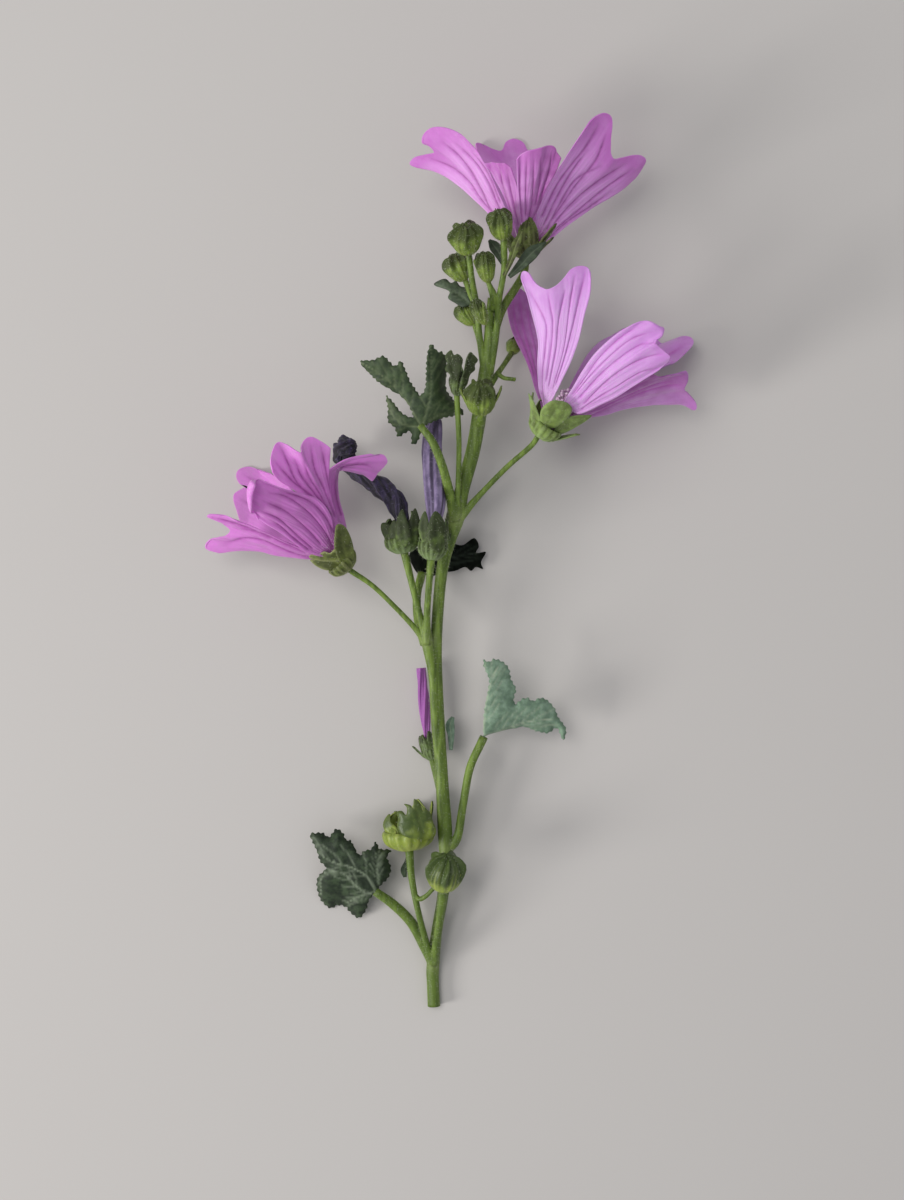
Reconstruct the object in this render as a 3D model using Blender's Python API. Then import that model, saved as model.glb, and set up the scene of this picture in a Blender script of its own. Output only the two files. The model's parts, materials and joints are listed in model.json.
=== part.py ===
"""A cut flowering stem of common mallow, lying on a flat surface.

Metres, +Z up. The stem runs along +Y from its cut end to the top bloom. The origin is on the surface, under
the middle of the object's box. Places were read by eye off a picture taken from above, so they are written
as picture points (across, down) with a height over the surface in mm, and spot() turns them into real places.
Everything else, such as a stalk's radius or a sepal's length, is a real size in mm.
"""

import math

import bmesh
import bpy
import numpy as np
from mathutils import Vector
from mathutils.geometry import delaunay_2d_cdt

MM = 0.001

# How the picture was taken: lens straight above PICTURE_MIDDLE, FOCAL in picture points.
LENS_HEIGHT = 280.0
FOCAL = 1555.6
PICTURE_MIDDLE = (452.0, 600.0)
# Where the middle of the object's box lies from the point under the lens, in metres.
BOX_MIDDLE = (0.000245, 0.00502)

BLADE = 0.6  # thickness of every petal, sepal and leaf
SEAT = 0.3  # gap between a piece and what carries it
HEAD_SIDES = 15  # columns round a calyx or a bud, three for each sepal
PETAL_COLUMNS = 11
PETAL_ROWS = 7
LEAF_SPACING = 24.0  # picture points between a leaf's inner points

CLAW_RADIUS = 1.35  # from a bloom's axis to the middle of a petal's foot
CLAW_FOOT = 2.6  # from a bloom's origin to the petals' feet
CLAW_SPREAD = 25.0  # degrees either side of the middle of a petal's foot
LOBES_LATE = 2.2  # the higher, the nearer to its rim a petal takes up the rim's shape

GREEN = (0.16, 0.27, 0.07)
LEAF_GREEN = (0.13, 0.22, 0.11)
FRUIT_GREEN = (0.30, 0.38, 0.10)
MAUVE = (0.58, 0.20, 0.55)
PALE_PINK = (0.80, 0.55, 0.72)
VIOLET = (0.13, 0.09, 0.27)


def clear_scene():
    for obj in list(bpy.data.objects):
        bpy.data.objects.remove(obj)


def plain_material(name, colour, roughness=0.6):
    material = bpy.data.materials.get(name)
    if material:
        return material
    material = bpy.data.materials.new(name)
    material.diffuse_color = (*colour, 1.0)
    material.use_nodes = True
    shader = material.node_tree.nodes["Principled BSDF"]
    shader.inputs["Base Color"].default_value = (*colour, 1.0)
    shader.inputs["Roughness"].default_value = roughness
    return material


def spot(across, down, height):
    """A picture point at a height over the surface, as a real place in mm."""
    reach = (LENS_HEIGHT - height) / FOCAL
    x = (across - PICTURE_MIDDLE[0]) * reach - BOX_MIDDLE[0] / MM
    y = (PICTURE_MIDDLE[1] - down) * reach - BOX_MIDDLE[1] / MM
    return np.array([x, y, height])


def unit(vector):
    return vector / np.linalg.norm(vector)


def smooth(x):
    x = min(max(x, 0.0), 1.0)
    return x * x * (3.0 - 2.0 * x)


def through(points, steps):
    """Steps + 1 points on one smooth curve through all the points given."""
    points = np.asarray(points, float)
    ends = np.vstack([2 * points[0] - points[1], points, 2 * points[-1] - points[-2]])
    spans = len(points) - 1
    curve = []
    for t in np.linspace(0.0, spans, steps + 1):
        i = min(int(t), spans - 1)
        u = t - i
        a, b, c, d = ends[i : i + 4]
        cubic = (3 * b - a - 3 * c + d) * u**3 + (2 * a - 5 * b + 4 * c - d) * u**2
        curve.append(0.5 * (2 * b + (c - a) * u + cubic))
    return np.array(curve)


def new_object(name, points, faces, material):
    mesh = bpy.data.meshes.new(name)
    mesh.from_pydata([Vector(p) * MM for p in points], [], faces)
    shell = bmesh.new()
    shell.from_mesh(mesh)
    bmesh.ops.triangulate(shell, faces=shell.faces)
    shell.to_mesh(mesh)
    shell.free()
    mesh.shade_smooth()
    mesh.materials.append(material)
    obj = bpy.data.objects.new(name, mesh)
    bpy.context.scene.collection.objects.link(obj)
    return obj


def thicken(obj):
    """Gives a surface with no thickness half a blade's thickness on each side."""
    solid = obj.modifiers.new("Blade", "SOLIDIFY")
    solid.thickness = BLADE * MM
    solid.offset = 0.0
    return obj


def apply_modifiers(obj):
    bpy.context.view_layer.update()
    graph = bpy.context.evaluated_depsgraph_get()
    mesh = bpy.data.meshes.new_from_object(obj.evaluated_get(graph))
    obj.modifiers.clear()
    obj.data = mesh
    return obj


def lay_flat(obj):
    """Presses the lowest points onto the surface, which leaves small flat spots to rest on."""
    apply_modifiers(obj)
    for vertex in obj.data.vertices:
        if vertex.co.z < 0.16 * MM:
            vertex.co.z = 0.0
    return obj


def fuse(obj, others):
    """One Boolean union of obj with all the others, which are then removed."""
    group = bpy.data.collections.new(obj.name + "_parts")
    bpy.context.scene.collection.children.link(group)
    for other in others:
        apply_modifiers(other)
        bpy.context.scene.collection.objects.unlink(other)
        group.objects.link(other)
    apply_modifiers(obj)
    join = obj.modifiers.new("Fuse", "BOOLEAN")
    join.operation = "UNION"
    join.operand_type = "COLLECTION"
    join.collection = group
    join.solver = "EXACT"
    apply_modifiers(obj)
    for other in others:
        bpy.data.objects.remove(other)
    bpy.data.collections.remove(group)
    return obj


def grid_faces(rows, columns, closed=False):
    """Quads of a grid of points listed row by row. A closed grid joins its last column to its first."""
    wide = columns if closed else columns - 1
    faces = []
    for i in range(rows - 1):
        for j in range(wide):
            k = (j + 1) % columns
            faces.append((i * columns + j, i * columns + k, (i + 1) * columns + k, (i + 1) * columns + j))
    return faces


def rings_object(name, rings, low, high, material):
    """A closed body from rings of points that all run the same way round, shut by a point at each end."""
    rings = np.asarray(rings)
    rows, columns = rings.shape[:2]
    points = list(rings.reshape(-1, 3)) + [low, high]
    faces = grid_faces(rows, columns, closed=True)
    foot, top, last = rows * columns, rows * columns + 1, (rows - 1) * columns
    for j in range(columns):
        k = (j + 1) % columns
        faces.append((foot, k, j))
        faces.append((top, last + j, last + k))
    return new_object(name, points, faces, material)


def tube(name, line, sides, material, pleats=0, pleat_depth=0.0, twist=0.0):
    """A round body along a line of (x, y, z, radius) points. Pleats may run along it and twist round it."""
    centre, radius = line[:, :3], line[:, 3]
    along = np.gradient(centre, axis=0)
    rings = []
    for step, (c, r, a) in enumerate(zip(centre, radius, along)):
        a = unit(a)
        side = unit(np.cross(a, [0.0, 0.0, 1.0]))
        up = np.cross(side, a)
        turned = twist * step / (len(line) - 1)
        ring = []
        for j in range(sides):
            turn = (j + 0.5) * 2 * math.pi / sides
            wide = r * (1.0 + pleat_depth * math.cos(pleats * turn))
            turn += turned
            ring.append(c + wide * (math.cos(turn) * up + math.sin(turn) * side))
        rings.append(ring)
    return rings_object(name, rings, centre[0], centre[-1], material)


def placed_line(points, steps):
    """A smooth line through (across, down, height, radius) points."""
    return through([(*spot(a, d, h), r) for a, d, h, r in points], steps)


def head_frame(base, tip):
    """Origin, axis, upward and rightward directions of a flower head that stands on a stalk's end."""
    axis = unit(tip - base)
    up = np.array([0.0, 0.0, 1.0])
    up = unit(up - axis * (up @ axis))
    return base + axis * SEAT, axis, up, np.cross(axis, up)


def round_head(frame, degrees):
    """Direction away from a head's axis. 0 is the side nearest the lens, 90 the right-hand side."""
    turn = math.radians(degrees)
    return math.cos(turn) * frame[2] + math.sin(turn) * frame[3]


def head_point(frame, degrees, radius, height):
    return frame[0] + frame[1] * height + round_head(frame, degrees) * radius


# The stem and its stalks. Each point is (across, down, height, radius).

STEM_LINE = [
    (434, 1006, 0.95, 1.1), (433, 985, 0.9, 1.05), (433, 966, 1.2, 1.12), (437, 930, 2.3, 0.95),
    (443, 895, 3.2, 1.0), (446, 860, 4.0, 1.15), (445, 830, 4.6, 1.3), (442, 780, 5.4, 1.12),
    (439, 730, 6.0, 1.1), (437, 690, 6.5, 1.06), (436, 650, 7.1, 1.02), (438, 610, 7.8, 0.98),
    (442, 570, 8.6, 1.02), (449, 540, 9.2, 1.2), (455, 518, 9.7, 1.6), (462, 490, 10.2, 1.25),
    (473, 450, 10.8, 1.24), (480, 410, 11.3, 1.26), (486, 370, 11.8, 1.2), (489, 345, 12.1, 1.0),
    (490, 318, 12.4, 0.8), (492, 298, 13.0, 0.7),
]

STALKS = {
    "low_leaf": [
        (434, 966, 1.5, 0.9), (424, 945, 1.9, 0.95), (411, 922, 2.9, 0.9), (394, 905, 3.8, 0.85),
        (379, 894, 4.4, 0.75),
    ],
    "low_fruit": [
        (433, 964, 2.0, 0.7), (427, 945, 3.4, 0.6), (419, 915, 4.6, 0.55), (412, 880, 5.0, 0.6),
        (409.5, 852, 5.0, 0.75),
    ],
    "hook": [(416, 896, 5.0, 0.4), (420, 899, 5.6, 0.45), (426, 896, 6.3, 0.4), (431, 891, 6.8, 0.36)],
    "mid_fruit": [(434, 962, 2.0, 0.8), (436, 945, 4.4, 0.72), (440, 918, 7.0, 0.72), (443, 892, 8.8, 0.8)],
    "right_leaf": [
        (446, 850, 4.2, 1.0), (457, 838, 4.8, 0.8), (463, 805, 5.6, 0.72), (470, 768, 6.4, 0.72),
        (482, 741, 6.9, 0.75),
    ],
    "pink_bud": [(442, 800, 4.6, 0.7), (437, 780, 3.6, 0.55), (433, 762, 2.8, 0.6)],
    "left_ridge": [(440, 780, 5.6, 0.6), (435.5, 720, 6.6, 0.8), (433, 675, 7.4, 0.85), (426, 636, 8.2, 1.1)],
    "left_bloom": [
        (427, 642, 8.2, 0.9), (414, 627, 8.9, 0.62), (396, 608, 9.6, 0.56), (373, 586, 10.5, 0.6),
        (351, 571, 11.2, 0.85),
    ],
    "faded_left": [(427, 644, 8.4, 0.8), (421, 620, 9.2, 0.62), (413, 588, 10.2, 0.58), (405, 555, 10.8, 0.7)],
    "faded_middle": [
        (427, 644, 8.6, 0.8), (427, 615, 10.2, 0.6), (429, 585, 12.2, 0.58), (431, 562, 13.6, 0.7),
    ],
    "under_leaf": [(425, 644, 7.4, 0.9), (418, 620, 5.8, 0.75), (417, 595, 4.2, 0.75), (421, 577, 3.2, 0.75)],
    "upper_leaf": [
        (455, 520, 10.4, 1.1), (450, 495, 12.2, 0.85), (442, 465, 14.6, 0.75), (433, 443, 15.6, 0.7),
        (423, 429, 15.5, 0.6),
    ],
    "leafy_bud": [(457, 520, 10.4, 0.7), (458, 490, 12.4, 0.5), (459, 445, 13.7, 0.46), (457, 398, 14.0, 0.5)],
    "right_bloom": [
        (458, 520, 10.0, 0.9), (478, 497, 10.2, 0.64), (506, 468, 10.4, 0.6), (530, 447, 10.7, 0.6),
        (537, 438, 11.2, 0.65),
    ],
    "stem_bud": [(480, 425, 11.6, 0.9), (482, 415, 14.6, 0.6)],
    "hidden_bud": [(489, 386, 11.4, 0.7), (501, 369, 9.0, 0.46), (511, 354, 5.6, 0.5)],
    "small_bract": [(498, 374, 10.6, 0.4), (504, 378, 10.9, 0.36), (511, 379, 11.2, 0.34)],
    "top_left": [
        (486, 378, 12.0, 0.8), (480, 340, 12.6, 0.56), (477, 308, 13.4, 0.52), (472, 280, 16.0, 0.52),
        (469, 256, 17.4, 0.55),
    ],
    "left_bud": [(477, 308, 13.4, 0.5), (471, 296, 13.2, 0.46), (466, 282, 12.7, 0.5)],
    "lowest_bud": [(481, 347, 12.0, 0.55), (478, 336, 11.0, 0.46), (475, 326, 10.2, 0.46)],
    "inner_bud": [(492, 310, 13.2, 0.6), (494, 298, 14.4, 0.9), (489, 284, 15.4, 0.7)],
    "top_right": [
        (489, 374, 11.9, 0.8), (496, 335, 12.8, 0.6), (499, 300, 14.4, 0.55), (504, 270, 16.6, 0.52),
        (504, 241, 18.6, 0.6),
    ],
    "top_bloom": [
        (491, 345, 12.0, 0.8), (501, 312, 11.8, 0.75), (515, 289, 11.8, 0.7), (524, 273, 12.0, 0.65),
        (526, 260, 12.3, 0.6),
    ],
}
STEM_SIDES = 8
STALK_SIDES = 6


def stalk_end(name):
    return spot(*STALKS[name][-1][:3])


def make_stem():
    green = plain_material("Mallow stem", GREEN, 0.55)
    stem = tube("stem", placed_line(STEM_LINE, 27), STEM_SIDES, green)
    stalks = []
    for name, points in STALKS.items():
        line = placed_line(points, 2 * (len(points) - 1))
        stalks.append(tube("stalk_" + name, line, STALK_SIDES, green))
    return lay_flat(fuse(stem, stalks))


# Calyces: a cup with five pointed sepals, and three narrow bracts outside it.


def calyx_grid(frame, cup):
    """Middle surface of the cup and its sepals, ring by ring from just outside the foot."""
    width, depth = cup["radius"], cup["depth"]
    rings = [(0.5 * width, 0.3 + 0.03 * depth), (0.93 * width, 0.3 + 0.36 * depth), (width, depth)]
    grid = []
    for radius, height in rings:
        grid.append([head_point(frame, cup["azimuth"] + 24 * j, radius, height) for j in range(HEAD_SIDES)])
    for share in (0.5, 1.0):
        row = []
        for j in range(HEAD_SIDES):
            peak = 1.0 if j % 3 == 0 else 0.0  # every third column is a sepal's middle line
            reach = share * cup["length"] * (1.0 if peak else 0.16)
            lean = math.radians(cup["flare"] + cup.get("curve", 0.0) * share * peak)
            radius, height = width + math.sin(lean) * reach, depth + math.cos(lean) * reach
            row.append(head_point(frame, cup["azimuth"] + 24 * j, radius, height))
        grid.append(row)
    return np.array(grid)


def bract(name, frame, degrees, foot, lean, reach, wide, material):
    """A narrow bract outside a cup, from foot (radius, height) along a line that leans outward."""
    lean = math.radians(lean)
    spine = [(0.72 * foot[0], 0.35 * foot[1]), foot]
    spine += [(foot[0] + math.sin(lean) * reach * u, foot[1] + math.cos(lean) * reach * u) for u in (0.5, 1.0)]
    points = []
    for (radius, height), half in zip(spine, (0.5 * wide, wide, 0.9 * wide, 0.1)):
        middle = head_point(frame, degrees, radius, height)
        side = round_head(frame, degrees + 90) * half
        points += [middle - side, middle, middle + side]
    return thicken(new_object(name, points, grid_faces(4, 3), material))


def make_calyx(name, frame, cup, colour_name="Mallow calyx", colour=GREEN):
    green = plain_material(colour_name, colour)
    grid = calyx_grid(frame, cup)
    rows, columns = grid.shape[:2]
    points = list(grid.reshape(-1, 3)) + [head_point(frame, 0, 0.0, BLADE / 2)]
    foot = len(points) - 1
    faces = grid_faces(rows, columns, closed=True) + [(foot, (j + 1) % columns, j) for j in range(columns)]
    calyx = thicken(new_object(name, points, faces, green))
    bracts = []
    for number, (degrees, lean, reach, wide) in enumerate(cup.get("bracts", [])):
        foot_ring = (cup["radius"] + 0.2, 0.85 * cup["depth"])
        bracts.append(bract(f"{name}_bract_{number}", frame, degrees, foot_ring, lean, reach, wide, green))
    return fuse(calyx, bracts) if bracts else calyx


# Closed buds: the sepals meet over the petals, and stand up in a ridge where two of them meet.


def make_bud(name, base, tip, bud, colour_name="Mallow bud", colour=GREEN):
    frame = head_frame(base, tip)
    green = plain_material(colour_name, colour)
    width, height = bud["radius"], bud["height"]
    rings = []
    for level, (across, up) in enumerate([(0.5, 0.04), (0.87, 0.2), (1.0, 0.42), (0.96, 0.63), (0.74, 0.84)]):
        ring = []
        for j in range(HEAD_SIDES):
            seam = 1.0 if j % 3 == 1 else 0.0  # every third column runs where two sepals meet
            swell = 1.0 + 0.22 * (seam - 0.25) * smooth((level - 1) / 2)
            rise = 0.06 * height * seam * smooth((level - 2) / 2)
            ring.append(head_point(frame, bud["turn"] + 24 * (j - 1), width * across * swell, height * up + rise))
        rings.append(ring)
    body = rings_object(name, rings, frame[0], head_point(frame, 0, 0.0, height), green)
    bracts = []
    usual = [(36, 10, 2.4, 0.6), (156, 10, 2.4, 0.6), (276, 10, 2.4, 0.6)]
    for number, (degrees, lean, reach, wide) in enumerate(bud.get("bracts", usual)):
        foot = (0.95 * width, 0.4 * height)
        bracts.append(bract(f"{name}_bract_{number}", frame, degrees, foot, lean, reach, wide, green))
    return fuse(body, bracts) if bracts else body


BUDS = {
    "bud_top_left": {
        "base": "top_left", "tip": (463, 219, 21.3), "radius": 2.9, "height": 5.5, "turn": 60,
        "bracts": [(-95, 28, 3.2, 0.8), (95, 12, 2.2, 0.7)],
    },
    "bud_top_middle": {"base": "top_right", "tip": (497, 209, 22.0), "radius": 2.2, "height": 5.2, "turn": 24},
    "bud_left": {"base": "left_bud", "tip": (448, 249, 13.6), "radius": 2.05, "height": 4.6, "turn": 36},
    "bud_inner": {
        "base": "inner_bud", "tip": (482, 252, 18.0), "radius": 1.75, "height": 5.0, "turn": 4, "bracts": [],
    },
    "bud_lowest": {
        "base": "lowest_bud", "tip": (458, 302, 9.4), "radius": 1.5, "height": 3.9, "turn": 46, "bracts": [],
    },
    "bud_leafy": {
        "base": "leafy_bud", "tip": (459, 352, 15.6), "radius": 1.4, "height": 4.2, "turn": 66,
        "bracts": [(-66, 30, 5.0, 1.4), (-10, 14, 5.4, 1.3), (60, 24, 4.8, 1.4)],
    },
    "bud_on_stem": {
        "base": "stem_bud", "tip": (478, 372, 20.4), "radius": 2.75, "height": 6.2, "turn": 48,
        "bracts": [(-110, 14, 3.0, 0.9), (75, 22, 3.8, 1.0)],
    },
    "bud_hidden": {
        "base": "hidden_bud", "tip": (518, 334, 2.6), "radius": 1.3, "height": 3.3, "turn": 36, "bracts": [],
    },
    "bud_side": {
        "base": (486, 326, 14.6), "tip": (474, 300, 16.4), "radius": 1.15, "height": 4.4, "turn": 56, "bracts": [],
    },
    "fruit_on_stem": {
        "base": "mid_fruit", "tip": (447, 846, 12.0), "radius": 3.75, "height": 6.9, "turn": 0,
        "bracts": [(-75, 10, 3.4, 0.8), (80, 14, 3.0, 1.0)],
    },
}


# Petals: a surface between a narrow foot, two side edges and a two-lobed rim.


def seen_at(place):
    """The picture point where a real place in mm is seen."""
    reach = FOCAL / (LENS_HEIGHT - place[2])
    across = PICTURE_MIDDLE[0] + (place[0] + BOX_MIDDLE[0] / MM) * reach
    return across, PICTURE_MIDDLE[1] - (place[1] + BOX_MIDDLE[1] / MM) * reach


def run_of(points):
    return np.concatenate([[0.0], np.cumsum(np.linalg.norm(np.diff(points, axis=0), axis=1))])


def evenly(points, count):
    """Points at even steps along the smooth curve through those given."""
    fine = through(points, 14 * (len(points) - 1))
    run = run_of(fine)
    want = np.linspace(0.0, run[-1], count)
    return np.stack([np.interp(want, run, fine[:, k]) for k in range(3)], 1)


def petal_edge(start, marks, end, count):
    """One side of a petal. A height that isn't given rises evenly between those that are."""
    picked = [(*seen_at(start), start[2])] + list(marks) + [end]
    run = run_of(np.array([mark[:2] for mark in picked]))
    known = [k for k, mark in enumerate(picked) if len(mark) > 2]
    heights = np.interp(run, run[known], [picked[k][2] for k in known])
    return evenly([spot(*mark[:2], height) for mark, height in zip(picked, heights)], count)


def petal_grid(frame, petal, rows, columns):
    """Middle surface of one petal. Rim points are (across, down, height)."""
    sides = np.linspace(-1.0, 1.0, columns)
    degrees = [petal["azimuth"] + petal.get("spread", CLAW_SPREAD) * s for s in sides]
    outward = np.array([round_head(frame, d) for d in degrees])
    foot = np.array([head_point(frame, d, CLAW_RADIUS, CLAW_FOOT) for d in degrees])
    rim = evenly([spot(*point) for point in petal["rim"]], columns)
    left = petal_edge(foot[0], petal["left"], petal["rim"][0], rows)
    right = petal_edge(foot[-1], petal["right"], petal["rim"][-1], rows)
    late = petal.get("late", LOBES_LATE)
    grid = []
    for i, t in enumerate(np.linspace(0.0, 1.0, rows)):
        row = []
        for j, s in enumerate(sides):
            u = 0.5 + 0.5 * s
            arc = foot[j] - (1 - u) * foot[0] - u * foot[-1]
            lobes = rim[j] - (1 - u) * rim[0] - u * rim[-1]
            place = (1 - u) * left[i] + u * right[i] + (1 - t) ** 2 * arc + t**late * lobes
            inner = 4 * u * (1 - u)
            belly = inner * math.sin(math.pi * t) * (1.1 * t - 0.35) + 0.14 * t * math.cos(4 * math.pi * s)
            row.append(place + outward[j] * belly)
        grid.append(row)
    grid = np.array(grid)
    grid[:, :, 2] = np.maximum(grid[:, :, 2], BLADE / 2)  # a petal that reaches the surface lies flat on it
    return grid


def make_petal(name, frame, petal):
    grid = petal_grid(frame, petal, PETAL_ROWS, PETAL_COLUMNS)
    rows, columns = grid.shape[:2]
    mauve = plain_material("Mallow petal", MAUVE)
    return lay_flat(thicken(new_object(name, grid.reshape(-1, 3), grid_faces(rows, columns), mauve)))


def make_stamens(name, frame):
    """The stamens' column: a slim tube whose head is a knot of anthers."""
    pale = plain_material("Mallow stamens", PALE_PINK, 0.7)
    foot = CLAW_FOOT - 0.6
    rings = []
    profile = [(0.0, 0.6), (2.5, 0.52), (4.6, 0.52), (5.2, 1.2), (6.4, 1.4), (7.4, 0.9)]
    for level, (height, radius) in enumerate(profile):
        knob = 0.25 if height > 5 else 0.0
        ring = []
        for j in range(10):
            bump = knob if (j + level) % 2 else -knob
            ring.append(head_point(frame, 36 * j, radius + bump, foot + height))
        rings.append(ring)
    return rings_object(name, rings, head_point(frame, 0, 0.0, foot), head_point(frame, 0, 0.0, foot + 7.8), pale)


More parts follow.
